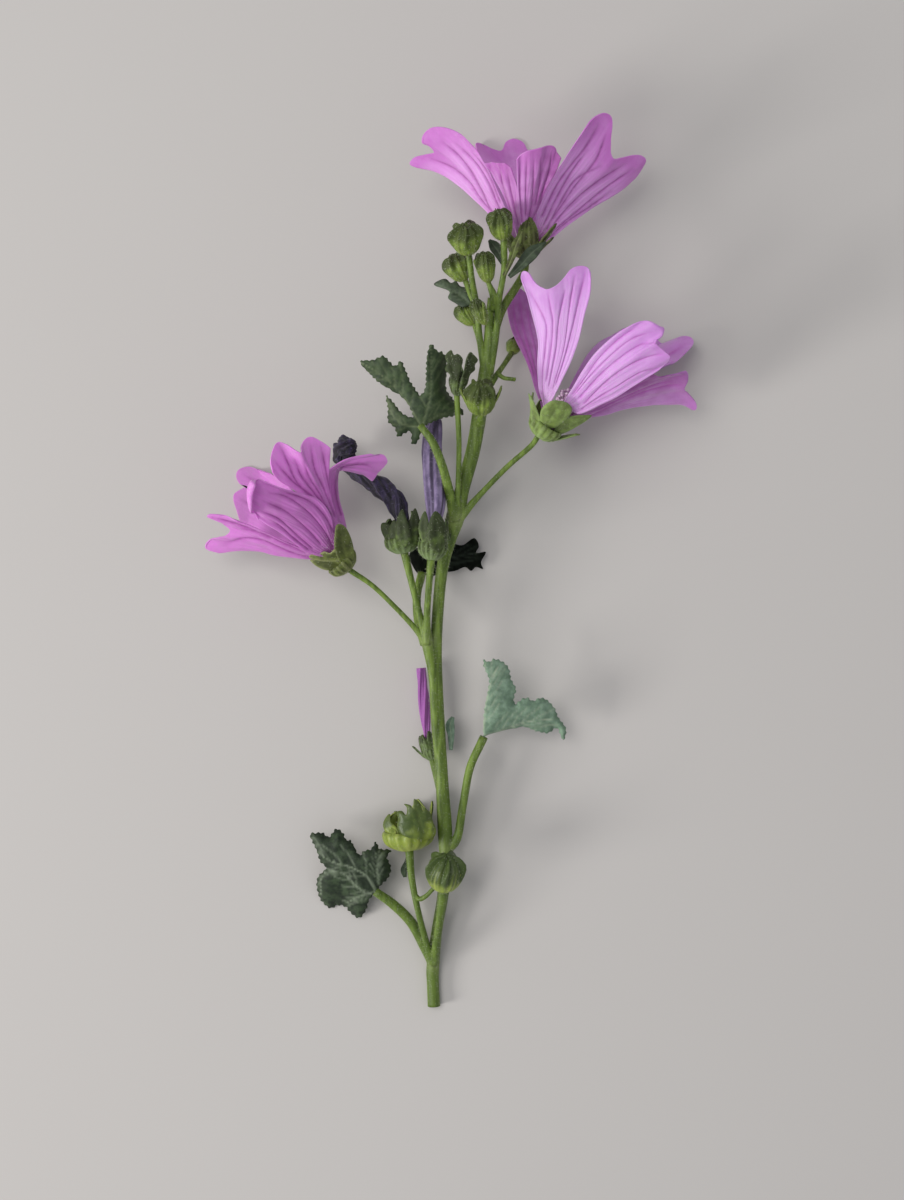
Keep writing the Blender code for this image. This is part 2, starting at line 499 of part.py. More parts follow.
BLOOMS = {
    "top": {
        "base": "top_bloom",
        "tip": (522, 205, 13.6),
        "cup": {
            "radius": 2.9, "depth": 2.5, "length": 2.9, "flare": 40, "azimuth": 0,
            "bracts": [(-62, 38, 3.0, 0.7), (66, 64, 3.2, 0.7), (180, 26, 3.0, 0.7)],
        },
        "petals": [
            {
                "azimuth": -100,
                "left": [(505, 228), (492, 217), (485, 208), (477, 198), (468, 186), (459, 177), (449, 171.5)],
                "rim": [
                    (437, 168.5, 10.5), (422, 168.6, 10.8), (411, 165, 11.2), (411.5, 161, 11.6), (416, 157, 12),
                    (424.4, 155, 12.6), (434, 153, 13.8), (431.5, 146, 15), (425, 142, 15.5), (424.5, 136, 16.3),
                    (429, 130.5, 17.2), (437, 127.3, 18), (448, 128.5, 18.8), (460, 134.8, 19.4),
                    (470, 142.5, 19.8),
                ],
                "right": [(513, 226), (506, 209), (498, 191), (489, 171), (479, 153)],
            },
            {
                "azimuth": -32, "spread": 27,
                "left": [(515, 226), (508, 208), (500, 188), (492, 173)],
                "rim": [
                    (485.5, 163.5, 21), (492, 162.6, 21.8), (498, 163.6, 22.8), (505, 163.6, 23.8),
                    (511.5, 168.5, 24.4),
                ],
                "right": [(518, 224), (514.5, 206), (513.5, 188)],
            },
            {
                "azimuth": 32, "spread": 24,
                "left": [(524, 226), (522, 207), (520, 186)],
                "rim": [
                    (516.5, 160, 26.4), (521, 154.5, 27), (527, 151.8, 27.6), (534, 150.4, 28), (541, 148.4, 27.8),
                    (550, 145.6, 27.4), (556, 149.4, 26.6), (560.5, 158.5, 25.6),
                ],
                "right": [(530, 228), (538.5, 208), (545.6, 190), (555, 173)],
            },
            {
                "azimuth": 100,
                "left": [(535, 227), (537.8, 208), (546.7, 187), (560, 165), (573, 145)],
                "rim": [
                    (583, 130.5, 20), (590, 121.5, 19.4), (597, 115.8, 18.8), (604.4, 113.2, 18),
                    (610.3, 117, 17.2), (612.5, 127, 16.6), (611, 142, 15.6), (610, 153, 14.8), (613.5, 159, 14.2),
                    (622, 158, 13), (633, 155.3, 11.8), (641, 155.8, 10.8), (646, 160, 9.6), (643.2, 167, 8.4),
                    (634, 179, 7.2),
                ],
                "right": [(539, 237), (550, 234), (562, 227), (578, 218), (596, 205.6), (611, 197), (622, 189.5)],
            },
            {
                "azimuth": 180,
                "left": [(533, 228), (538, 206), (543, 182)],
                "rim": [
                    (543, 165, 0.6), (534, 158, -0.6), (527, 153, -1.4), (522, 145.9, -2), (513.3, 142.4, -2),
                    (505.6, 145.8, -2), (501.5, 153, -1.4), (493, 150.6, -0.8), (483, 144.6, 0.2), (476, 143.6, 1),
                    (476.5, 150, 2), (480, 157, 3),
                ],
                "right": [(514, 228), (503, 207), (493, 187), (485, 169)],
            },
        ],
    },
    "right": {
        "base": "right_bloom",
        "tip": (575, 386, 15.0),
        "cup": {
            "radius": 3.1, "depth": 2.5, "length": 3.4, "flare": 38, "azimuth": 58,
            "bracts": [(-84, 32, 3.6, 0.7), (70, 50, 3.8, 1.0), (200, 28, 3.2, 0.7)],
        },
        "petals": [
            {
                "azimuth": -50,
                "left": [(543.5, 408), (538.5, 388), (537.4, 365), (538.5, 343), (534, 321), (528.6, 299)],
                "rim": [
                    (523, 284, 19.5), (520.6, 275.5, 19.8), (523, 270.8, 20.2), (529.7, 274, 20.6),
                    (536.3, 283.7, 20.8), (543, 288, 21), (548.5, 289.4, 21.2), (556.2, 286, 21.5),
                    (564, 277, 21.9), (571.6, 269.6, 22.2), (580.5, 266, 22.4), (588, 268.5, 22.3),
                    (591.3, 279, 22),
                ],
                "right": [
                    (548, 408), (556, 393), (563, 378.6), (571.6, 361), (579.4, 339), (585, 315), (590.5, 295),
                ],
            },
            {
                "azimuth": 22,
                "left": [
                    (560, 408), (566, 398), (572.7, 387.4), (581.6, 372), (593.7, 354.8), (607, 341.6),
                    (620, 331.5),
                ],
                "rim": [
                    (633.4, 323.8, 24), (644.5, 321.2, 24.5), (653.3, 324.9, 24.6), (660.5, 330.5, 24.4),
                    (661, 336.5, 24.2), (655.5, 342.5, 24.2), (663, 350.5, 23.6), (669.5, 356.5, 23),
                    (666.5, 363.5, 22), (658, 369.9, 21),
                ],
                "right": [
                    (571, 413), (578, 414), (587, 411.5), (600, 405), (613.6, 398.4), (631, 387.4), (644.5, 378.6),
                ],
            },
            {
                "azimuth": 94,
                "left": [(576, 411), (595, 402), (615, 392), (635, 381)],
                "rim": [
                    (652, 374, 16.5), (661, 377.5, 15.5), (673, 374.5, 14.8), (683, 374, 13.8),
                    (686.5, 380.5, 12.6), (682.5, 388.3, 11.4), (688.6, 394, 9.8), (694.6, 401.5, 8.2),
                    (696.2, 408.5, 7.2), (692.5, 409.5, 6.6), (688, 403, 6.4), (682, 397, 6.2),
                ],
                "right": [(583, 419), (604.7, 414), (622.4, 405.5), (642.3, 398.9), (658, 395.3), (672, 393.2)],
            },
            {
                "azimuth": 166,
                "left": [(575, 408), (600, 397), (625, 385), (650, 373)],
                "rim": [
                    (668, 365, 6.4), (677.6, 361, 6), (686.4, 352, 5), (693.2, 343.5, 4), (690.8, 337.8, 3.4),
                    (682, 336.8, 2.4), (671, 340.5, 0.6), (662, 345, -0.8), (650, 337, -1.6), (636, 329, -2),
                    (622, 330.5, -2),
                ],
                "right": [(562, 402), (569, 388), (577, 372), (588, 354), (600, 342), (612, 336)],
            },
            {
                "azimuth": 238,
                "left": [(548, 402), (551, 375), (554, 345), (555, 320)],
                "rim": [
                    (553, 303, 2.2), (544, 292, 1.4), (536, 290, 1.2), (527, 293.5, 1.6), (518.5, 288, 2.2),
                    (510, 288.3, 3.2), (506.8, 295, 4.4),
                ],
                "right": [(544, 403), (537, 389.6), (529.7, 372), (523, 354.3), (514.3, 336.6), (508.8, 318)],
            },
        ],
    },
    "left": {
        "base": "left_bloom",
        "tip": (315, 535, 13.6),
        "cup": {
            "radius": 2.9, "depth": 2.4, "length": 3.2, "flare": 44, "azimuth": 6,
            "bracts": [(-60, 44, 3.6, 0.8), (50, 34, 4.2, 1.0), (160, 30, 3.4, 0.7)],
        },
        "petals": [
            {
                "azimuth": -92,
                "left": [
                    (335, 562), (320, 560.5), (307, 559), (295, 557), (279, 553.6), (267, 548.2), (250, 545.2),
                ],
                "rim": [
                    (234, 545.5, 6), (226, 550, 6.2), (219, 553, 6.6), (211, 549.6, 7), (207.8, 545, 7.4),
                    (210.8, 540, 8), (217, 538.3, 8.8), (225, 536, 9.6), (231, 530, 10.2), (225, 525.3, 10.8),
                    (215, 520.3, 11.2), (207.6, 515.7, 11.6), (213, 513.8, 12.2), (227, 517.4, 13),
                    (238, 521.5, 13.8),
                ],
                "right": [(332, 556), (307, 551), (291, 545), (275, 537), (255, 528)],
            },
            {
                "azimuth": -18, "spread": 29,
                "left": [(330, 557), (318, 556), (305, 551), (295, 543.5), (283, 534), (271, 526.5)],
                "rim": [
                    (260, 519, 21), (255.5, 511, 22.4), (252.5, 500, 24), (252, 490, 25), (255, 482.5, 25.4),
                    (260, 480, 25.4), (266, 483.5, 25),
                ],
                "right": [
                    (331, 549), (325, 533), (321, 518), (314, 505), (307, 495.5), (291, 491.5), (277, 487.5),
                ],
            },
            {
                "azimuth": 48,
                "left": [(336, 542), (330, 523), (318, 509), (304, 497), (290, 487.5), (279, 481)],
                "rim": [
                    (272.5, 473, 22), (270.8, 461, 21.6), (273.2, 448, 21.2), (279, 442, 21), (287, 444.3, 21),
                    (295, 450.6, 21), (301.3, 452.5, 21), (302, 445, 20.4), (306, 438.9, 20), (313, 437.5, 19.6),
                    (322, 441.2, 19), (330, 449, 18.4),
                ],
                "right": [(336, 537), (331, 516), (328.5, 499), (327.5, 482), (329, 466)],
            },
            {
                "azimuth": 114, "late": 6.0,
                "left": [
                    (343, 531, 13.2), (334, 517, 13.4), (327, 499, 14.2), (326, 483, 15.2), (328.5, 471, 16.6),
                    (333, 466.5, 17.4), (344, 460, 18.0), (356, 456.5, 17.2),
                ],
                "rim": [
                    (369, 454.3, 16.2), (381, 454.8, 15.2), (387.5, 459.5, 14.4), (384, 466, 13.8),
                    (378, 472, 13.2), (372.5, 480, 12.2), (369.3, 475, 13.0),
                ],
                "right": [
                    (346, 532, 12.2), (343.5, 516, 12.0), (339.5, 502, 12.2), (337.6, 488, 12.8),
                    (337.8, 476, 13.8), (340, 470, 14.8), (347, 470.5, 15.2), (356, 471.6, 14.8), (364, 472.6, 14.0),
                ],
            },
            {
                "azimuth": 184,
                "left": [(334, 545), (318, 522), (300, 499), (284, 482)],
                "rim": [
                    (271, 474.3, 2.4), (261, 470.4, 0.6), (249, 467.5, -1), (240.3, 470.8, -2), (238.3, 478, -2),
                    (242, 485, -2), (248, 487, -2), (243, 490, -2), (236.3, 495, -2), (235.8, 503, -2),
                    (238.3, 513, -1.4), (241, 521, -0.6),
                ],
                "right": [(328, 553), (300, 547), (276, 538), (257, 529)],
            },
        ],
    },
}


def make_bloom(place, bloom):
    frame = head_frame(stalk_end(bloom["base"]), spot(*bloom["tip"]))
    make_calyx(f"calyx_{place}_bloom", frame, bloom["cup"])
    make_stamens(f"stamens_{place}_bloom", frame)
    for number, petal in enumerate(bloom["petals"], 1):
        make_petal(f"petal_{place}_bloom_{number}", frame, petal)


# Faded flowers: the petals have rolled up and twisted into a cord that stands out of the calyx.

FADED = {
    "left": {
        "base": "faded_left",
        "tip": (398, 515, 11.6),
        "cup": {
            "radius": 2.6, "depth": 3.2, "length": 3.6, "flare": 0, "azimuth": 20, "curve": -8,
            "bracts": [(-80, 48, 2.8, 0.9), (-10, 8, 3.0, 0.7), (190, 8, 3.0, 0.7)],
        },
        "roll": [
            (403, 541, 11.0, 0.8), (402, 520, 11.2, 1.1), (395, 501, 11.0, 1.6), (380, 487, 10.2, 1.6),
            (365, 478, 8.4, 1.2), (351, 469, 6.2, 1.0), (341, 458, 4.6, 1.2), (347, 448, 5.0, 1.9),
            (352, 441, 4.8, 1.3),
        ],
        "pleats": 4, "depth": 0.2, "twist": 5.0,
    },
    "middle": {
        "base": "faded_middle",
        "tip": (436, 515, 14.2),
        "cup": {
            "radius": 2.2, "depth": 3.4, "length": 3.8, "flare": 0, "azimuth": 0,
            "bracts": [(0, 8, 3.4, 0.8), (120, 6, 3.0, 0.7)],
        },
        "roll": [
            (432, 548, 13.8, 0.7), (434, 528, 13.9, 0.85), (435, 502, 12.9, 1.6), (433, 476, 11.0, 1.75),
            (432, 450, 9.9, 1.7), (434, 428, 8.8, 1.3), (435, 418, 8.4, 0.8),
        ],
        "pleats": 4, "depth": 0.2, "twist": 1.4,
    },
    "pink": {
        "base": "pink_bud",
        "tip": (425, 728, 2.6),
        "cup": {
            "radius": 1.25, "depth": 2.4, "length": 2.6, "flare": 0, "azimuth": 0,
            "bracts": [(-60, 8, 2.0, 0.6), (100, 8, 2.0, 0.6)],
        },
        "roll": [
            (430, 751, 2.7, 0.3), (427, 735, 2.6, 0.55), (425, 712, 2.4, 0.85), (423, 690, 2.2, 0.88),
            (421, 668, 2.0, 0.7),
        ],
        "pleats": 4, "depth": 0.12, "twist": 3.0,
    },
}


def make_faded(place, flower):
    frame = head_frame(stalk_end(flower["base"]), spot(*flower["tip"]))
    make_calyx(f"calyx_faded_{place}", frame, flower["cup"])
    colour_name, colour = ("Mallow petal", MAUVE) if place == "pink" else ("Mallow faded petal", VIOLET)
    material = plain_material(colour_name, colour, 0.7)
    line = placed_line(flower["roll"], 2 * (len(flower["roll"]) - 1))
    tube(f"rolled_petals_{place}", line, 12, material, flower["pleats"], flower["depth"], flower["twist"])


# The open fruit: a ring of nutlets in the calyx that has grown round it.


def make_fruit():
    frame = head_frame(stalk_end("low_fruit"), spot(407, 815, 5.0))
    cup = {
        "radius": 4.25, "depth": 3.3, "length": 5.0, "flare": -6, "azimuth": 8, "curve": -8,
        "bracts": [(-70, -4, 2.6, 0.7), (70, 0, 3.4, 1.0), (190, 0, 2.8, 0.8)],
    }
    make_calyx("calyx_low_fruit", frame, cup, "Mallow fruit", FRUIT_GREEN)
    pale = plain_material("Mallow nutlets", FRUIT_GREEN, 0.65)
    nutlets = 20
    rings = []
    for radius, height in [(1.4, 1.5), (3.0, 1.9), (3.4, 2.8), (3.0, 3.7), (1.3, 3.9)]:
        ring = []
        for j in range(nutlets):
            groove = 0.86 if j % 2 else 1.0
            ring.append(head_point(frame, 360 / nutlets * j, radius * groove, height))
        rings.append(ring)
    rings_object("nutlets_low_fruit", rings, head_point(frame, 0, 0.0, 1.5), head_point(frame, 0, 0.0, 3.4), pale)


# Leaves: a toothed outline, filled with triangles. Outline points are (across, down, height).

LEAVES = {
    "leaf_upper": {
        "origin": (422, 427, 14.2), "arch": 0.8,
        "rim": [
            (418, 441, 13.0), (412, 444, 12.4), (411, 432, 13.2), (405, 433, 13.0), (398, 437, 12.6),
            (395, 428, 13.2), (388, 421, 13.0), (388, 408, 13.8), (386, 396, 13.8),
            (393, 402, 14.2), (402, 413, 14.4), (413, 417, 14.4), (404, 399, 14.8),
            (381, 384, 15.2), (372, 376, 15.4), (360, 362, 16.0), (373, 360, 16.4),
            (383, 356, 16.6), (389, 361, 16.4), (395, 366, 16.2), (401, 361, 16.6), (405, 369, 16.2),
            (410, 381, 15.6), (414, 387, 15.2), (420, 395, 14.8), (425, 389, 15.2), (426, 376, 15.8),
            (427, 356, 16.8), (431, 344, 17.4), (437, 351, 16.2), (442, 352, 14.8), (446, 358, 13.4),
            (447, 369, 12.0), (446, 388, 11.2), (453, 399, 10.8), (464, 413, 10.6), (454, 416, 11.2),
            (440, 419, 12.6),
        ],
    },
    "leaf_right": {
        "origin": (483, 737, 7.1), "arch": 0.6,
        "rim": [
            (484, 712, 8.6), (488, 690, 9.6), (489, 679, 10.0), (484, 667, 10.0), (484, 660, 9.8),
            (489, 662, 10.4), (494, 659, 10.4), (503, 662, 10.0), (509, 669, 9.6), (511, 679, 9.2),
            (516, 689, 8.8), (514, 697, 8.6), (515, 704, 8.2), (522, 699, 8.4), (528, 698, 8.4),
            (533, 701, 8.2), (540, 698, 8.0), (547, 700, 7.6), (555, 709, 7.0), (558, 717, 6.4),
            (566, 729, 5.4), (563, 740, 4.6), (557, 728, 5.2), (548, 733, 5.0),
            (536, 731, 5.4), (520, 727, 6.2),
        ],
    },
    "leaf_low": {
        "origin": (376, 892, 4.6), "arch": 1.6,
        "rim": [
            (369, 900, 3.6), (366, 910, 2.2), (359, 918, 1.0), (350, 912, 0.8), (346, 907, 1.2),
            (338, 905, 0.8), (330, 908, 0.4), (321, 900, 0.6), (317, 888, 1.6), (318, 877, 3.0),
            (326, 868, 4.4), (320, 861, 4.6), (317, 851, 4.8), (310, 835, 4.0), (317, 833, 4.4),
            (323, 833, 4.6), (329, 837, 5.0), (336, 829, 4.8), (343, 833, 5.2), (346, 840, 5.6),
            (351, 841, 5.4), (359, 855, 5.8), (364, 851, 5.6), (371, 849, 5.4), (376, 842, 4.8),
            (380, 849, 5.2), (391, 850, 4.2), (387, 857, 4.8), (391, 868, 4.2), (388, 878, 4.2),
            (381, 885, 4.4),
        ],
    },
    "leaf_under": {
        "origin": (423, 574, 3.2), "arch": 0.4,
        "rim": [
            (417, 573, 2.4), (410, 560, 1.6), (411, 551, 1.8), (424, 546, 3.0), (440, 541, 3.6),
            (455, 544, 3.4), (463, 545, 2.8), (474, 538, 2.0), (479, 546, 1.8), (476, 553, 2.2),
            (486, 552, 1.4), (481, 562, 1.6), (483, 569, 1.0), (476, 567, 1.6), (471, 571, 1.2),
            (465, 567, 1.8), (455, 571, 2.0), (440, 573, 2.4), (431, 577, 2.6),
        ],
    },
    "leaf_top_left": {
        "origin": (471, 304, 12.3), "arch": 0.2,
        "rim": [
            (463, 307, 12.2), (455, 303, 11.6), (448, 298, 11.0), (449, 291, 10.8), (434, 285, 10.0),
            (440, 280, 10.2), (446, 279, 10.2), (451, 283, 10.4), (456, 281, 10.2), (460, 286, 10.5),
            (466, 288, 11.0), (469, 294, 11.8),
        ],
    },
}


def is_inside(place, outline):
    inside = False
    for (ax, ay), (bx, by) in zip(outline, np.roll(outline, -1, axis=0)):
        if (ay > place[1]) != (by > place[1]) and place[0] < ax + (place[1] - ay) * (bx - ax) / (by - ay):
            inside = not inside
    return inside


def fill_outline(outline, spacing):
    """Picture points in an outline, itself first, and the triangles between them."""
    count = len(outline)
    points = [Vector(point) for point in outline]
    low, high = outline.min(axis=0), outline.max(axis=0)
    for k, down in enumerate(np.arange(low[1] + 0.5 * spacing, high[1], 0.87 * spacing)):
        for across in np.arange(low[0] + 0.5 * spacing * (1 + k % 2), high[0], spacing):
            apart = np.linalg.norm(outline - (across, down), axis=1).min()
            if is_inside((across, down), outline) and apart > 0.5 * spacing:
                points.append(Vector((across, down)))
    edges = [(k, (k + 1) % count) for k in range(count)]
    places, _, faces, _, _, _ = delaunay_2d_cdt(points, edges, [], 1, 1e-6)
    return np.array([place[:] for place in places]), faces


def make_leaf(name, leaf):
    """A blade of even thickness over an outline in the picture, arched up in its middle."""
    outline = np.array([leaf["origin"]] + leaf["rim"], float)
    flat, faces = fill_outline(outline[:, :2], LEAF_SPACING)
    middles = []
    for place in flat:
        apart = np.linalg.norm(outline[:, :2] - place, axis=1)
        weight = 1.0 / np.maximum(apart, 0.4) ** 2
        height = weight @ outline[:, 2] / weight.sum() + leaf["arch"] * (1.0 - math.exp(-apart.min() / 9.0))
        middles.append(spot(*place, max(height, BLADE / 2)))
    middles = np.array(middles)
    steep = np.ones(len(flat))  # a steep blade is made taller, to keep its thickness
    for face in faces:
        a, b, c = middles[list(face)]
        level = abs(unit(np.cross(b - a, c - a))[2])
        steep[list(face)] = np.minimum(steep[list(face)], max(level, 0.5))
    half = np.outer(0.5 * BLADE / steep, [0.0, 0.0, 1.0])
    middles[:, 2] = np.maximum(middles[:, 2], half[:, 2])
    count = len(flat)
    shell = [face[::-1] for face in faces] + [tuple(v + count for v in face) for face in faces]
    around = {(v, w) for face in faces for v, w in zip(face, (*face[1:], face[0]))}
    shell += [(v, w, w + count, v + count) for v, w in sorted(around) if (w, v) not in around]
    points = np.concatenate([middles + half, middles - half])
    return new_object(name, points, shell, plain_material("Mallow leaf", LEAF_GREEN))


# Small leaves at the joints. Spine points are (across, down, height, half width).

LEAFLETS = {
    "leaflet_pale": [
        (504, 276, 17.4, 0.35), (511, 260, 18.8, 0.6), (516, 245, 19.8, 0.95), (522, 231, 20.6, 0.25),
    ],
    "leaflet_dark": [
        (509, 277, 16.2, 0.35), (520, 266, 17.0, 0.8), (532, 253, 17.6, 1.1), (546, 242, 17.4, 0.15),
    ],
    "leaflet_shaded": [
        (503, 264, 15.9, 0.35), (499, 253, 15.4, 0.9), (494, 246, 15.0, 0.9), (489, 240, 15.2, 0.2),
    ],
    "leaflet_hanging": [
        (409, 854, 3.6, 0.4), (407, 862, 3.2, 0.45), (404, 870, 2.8, 0.6), (405, 877, 2.6, 0.3),
    ],
    "leaflet_stem": [(451, 750, 5.0, 0.3), (451, 735, 4.4, 0.6), (450, 725, 3.8, 0.8), (453, 717, 3.4, 0.3)],
}


def make_leaflet(name, spine):
    line = placed_line(spine, 5)
    along = np.gradient(line[:, :3], axis=0)
    points = []
    for (x, y, z, half), a in zip(line, along):
        side = unit(np.cross(a, [0.0, 0.0, 1.0])) * half
        middle = np.array([x, y, z])
        keel = np.array([0.0, 0.0, 0.25 * half])
        points += [middle - side + keel, middle, middle + side + keel]
    return thicken(new_object(name, points, grid_faces(len(line), 3), plain_material("Mallow leaf", LEAF_GREEN)))


def main():
    clear_scene()
    make_stem()
    for place, bloom in BLOOMS.items():
        make_bloom(place, bloom)
    for place, flower in FADED.items():
        make_faded(place, flower)
    make_fruit()
    for name, bud in BUDS.items():
        base = stalk_end(bud["base"]) if isinstance(bud["base"], str) else spot(*bud["base"])
        make_bud(name, base, spot(*bud["tip"]), bud)
    for name, leaf in LEAVES.items():
        make_leaf(name, leaf)
    for name, spine in LEAFLETS.items():
        make_leaflet(name, spine)


main()
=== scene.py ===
# Looks of a cut flowering stem of common mallow, laid on a pale surface and seen from straight above.
# Places are picture points (across, down) with a height over the surface in mm, as in the solids' source.

import json
import math
import random

import bpy
import numpy as np
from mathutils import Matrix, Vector, noise
from mathutils.geometry import delaunay_2d_cdt

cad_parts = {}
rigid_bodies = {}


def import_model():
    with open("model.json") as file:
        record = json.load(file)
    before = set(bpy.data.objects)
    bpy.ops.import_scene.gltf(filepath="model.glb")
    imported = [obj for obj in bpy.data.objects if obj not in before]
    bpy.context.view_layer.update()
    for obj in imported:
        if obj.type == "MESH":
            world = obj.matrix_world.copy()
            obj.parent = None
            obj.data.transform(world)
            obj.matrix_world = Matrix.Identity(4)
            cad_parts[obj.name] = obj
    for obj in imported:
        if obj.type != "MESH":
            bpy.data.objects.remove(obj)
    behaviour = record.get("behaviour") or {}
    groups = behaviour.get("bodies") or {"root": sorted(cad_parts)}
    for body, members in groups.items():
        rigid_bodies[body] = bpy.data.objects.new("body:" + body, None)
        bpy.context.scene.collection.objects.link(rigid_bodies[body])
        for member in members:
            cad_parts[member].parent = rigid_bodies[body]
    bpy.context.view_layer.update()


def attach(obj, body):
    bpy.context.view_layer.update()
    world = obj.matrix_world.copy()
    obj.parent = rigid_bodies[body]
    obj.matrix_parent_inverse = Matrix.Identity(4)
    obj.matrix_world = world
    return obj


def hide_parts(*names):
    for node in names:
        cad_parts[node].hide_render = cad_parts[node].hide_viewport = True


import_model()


mm = 0.001
picture = {
    "lensHeight": 280.0, "focal": 1555.6,  # mm over the surface, picture points
    "middle": (452.0, 600.0), "size": (904, 1200), "boxMiddle": (0.245, 5.02),
}


# Places and small sums.


def spot(across, down, height):
    reach = (picture["lensHeight"] - height) / picture["focal"]
    x = (across - picture["middle"][0]) * reach - picture["boxMiddle"][0]
    y = (picture["middle"][1] - down) * reach - picture["boxMiddle"][1]
    return np.array([x, y, height])


def seenAt(points):
    points = np.asarray(points)
    reach = picture["focal"] / (picture["lensHeight"] - points[..., 2])
    across = picture["middle"][0] + (points[..., 0] + picture["boxMiddle"][0]) * reach
    down = picture["middle"][1] - (points[..., 1] + picture["boxMiddle"][1]) * reach
    return np.stack([across, down], axis=-1)


def unit(vectors):
    vectors = np.asarray(vectors, float)
    return vectors / np.maximum(np.linalg.norm(vectors, axis=-1, keepdims=True), 1e-9)


def smooth(x):
    x = np.clip(x, 0.0, 1.0)
    return x * x * (3.0 - 2.0 * x)


def bump(x, width):  # 1 at x = 0, falling to nothing on both sides
    return np.exp(-((x / width) ** 2))


def through(points, steps):  # steps + 1 points on one smooth curve through all of them
    points = np.asarray(points, float)
    ends = np.vstack([2 * points[0] - points[1], points, 2 * points[-1] - points[-2]])
    spans = len(points) - 1
    t = np.linspace(0.0, spans, steps + 1)
    i = np.minimum(t.astype(int), spans - 1)
    u = (t - i)[:, None]
    a, b, c, d = ends[i], ends[i + 1], ends[i + 2], ends[i + 3]
    cubic = (3 * b - a - 3 * c + d) * u**3 + (2 * a - 5 * b + 4 * c - d) * u**2
    return 0.5 * (2 * b + (c - a) * u + cubic)


def runAlong(points):  # the way gone at each point of a line
    return np.concatenate([[0.0], np.cumsum(np.linalg.norm(np.diff(points, axis=0), axis=1))])


def evenly(points, count):  # points at even steps along the smooth curve through those given
    fine = through(points, 14 * (len(points) - 1))
    run = runAlong(fine[:, :3])
    want = np.linspace(0.0, run[-1], count)
    return np.stack([np.interp(want, run, fine[:, k]) for k in range(fine.shape[1])], 1)


def farFrom(places, line):
    best = np.full(places.shape[:-1], 1e9)
    for a, b in zip(line[:-1], line[1:]):
        step = b - a
        u = np.clip(((places - a) @ step) / max(step @ step, 1e-9), 0, 1)
        best = np.minimum(best, np.linalg.norm(places - (a + u[..., None] * step), axis=-1))
    return best


def grain(points, size, seed=0.0):  # soft noise from -1 to 1 with features about size mm across
    flat = np.asarray(points).reshape(-1, 3) / size
    shift = Vector((seed * 7.3, seed * 3.1, seed * 5.7))
    values = [noise.noise(Vector(p) + shift) for p in flat]
    return np.array(values).reshape(np.asarray(points).shape[:-1])


# Meshes: a sheet is a grid of points given a thickness, and a body is a stack of rings.

rimSteps = 3.0  # grid steps, or picture points on a leaf, over which a sheet thins towards its rim


def gridNormals(grid, closed):
    along = np.gradient(grid, axis=0)
    across = np.roll(grid, -1, 1) - np.roll(grid, 1, 1) if closed else np.gradient(grid, axis=1)
    return unit(np.cross(across, along))


def gridFaces(rows, columns, wide):  # the corners of each square of a grid of points
    ii, jj = [a.ravel() for a in np.meshgrid(np.arange(rows - 1), np.arange(wide), indexing="ij")]
    kk = (jj + 1) % columns
    return [ii * columns + jj, ii * columns + kk, (ii + 1) * columns + kk, (ii + 1) * columns + jj]


def sheet(grid, thick, marks, closed=False, edge=0.45):
    rows, columns = grid.shape[:2]
    normals = gridNormals(grid, closed)
    i, j = np.meshgrid(np.arange(rows), np.arange(columns), indexing="ij")
    inset = np.minimum(i, rows - 1 - i)
    if not closed:
        inset = np.minimum(inset, np.minimum(j, columns - 1 - j))
    half = 0.5 * thick * (edge + (1 - edge) * smooth(inset / rimSteps))[..., None]
    points = np.concatenate([(grid + normals * half).reshape(-1, 3), (grid - normals * half).reshape(-1, 3)])
    count = rows * columns
    wide = columns if closed else columns - 1
    a, b, c, d = gridFaces(rows, columns, wide)
    faces = [np.stack([a, b, c, d], 1), np.stack([d, c, b, a], 1) + count]
    j0 = np.arange(wide)
    j1 = (j0 + 1) % columns
    last = (rows - 1) * columns
    faces.append(np.stack([j1, j0, j0 + count, j1 + count], 1))
    faces.append(np.stack([last + j0, last + j1, last + j1 + count, last + j0 + count], 1))
    if not closed:
        i0 = np.arange(rows - 1) * columns
        i1 = i0 + columns
        far = columns - 1
        faces.append(np.stack([i0, i1, i1 + count, i0 + count], 1))
        faces.append(np.stack([i1 + far, i0 + far, i0 + far + count, i1 + far + count], 1))
    marks = {name: np.tile(np.broadcast_to(value, (rows, columns)).ravel(), 2) for name, value in marks.items()}
    return points, np.concatenate(faces).tolist(), marks


def body(rings, marks):
    rings = np.asarray(rings)
    rows, columns = rings.shape[:2]
    points = np.concatenate([rings.reshape(-1, 3), [rings[0].mean(0)], [rings[-1].mean(0)]])
    faces = np.stack(gridFaces(rows, columns, columns), 1).tolist()
    foot, top, last = rows * columns, rows * columns + 1, (rows - 1) * columns
    for j in range(columns):
        k = (j + 1) % columns
        faces += [[foot, k, j], [top, last + j, last + k]]
    full = {}
    for name, value in marks.items():
        value = np.broadcast_to(value, (rows, columns))
        full[name] = np.concatenate([value.ravel(), [value[0].mean()], [value[-1].mean()]])
    return points, faces, full


def joined(parts):
    points, faces, marks, start = [], [], {}, 0
    names = sorted({name for part in parts for name in part[2]})
    for partPoints, partFaces, partMarks in parts:
        points.append(partPoints)
        faces += [[start + v for v in face] for face in partFaces]
        for name in names:
            marks.setdefault(name, []).append(partMarks.get(name, np.zeros(len(partPoints))))
        start += len(partPoints)
    return np.concatenate(points), faces, {name: np.concatenate(values) for name, values in marks.items()}


def addMarks(mesh, marks):
    for name, values in marks.items():
        layer = mesh.attributes.new(name, "FLOAT", "POINT")
        layer.data.foreach_set("value", np.asarray(values, np.float32))
    mesh.shade_smooth()


def pieceName(node):  # petal_top_bloom_1 becomes petalTopBloom1
    first, *rest = node.split("_")
    return first + "".join(word.capitalize() for word in rest)


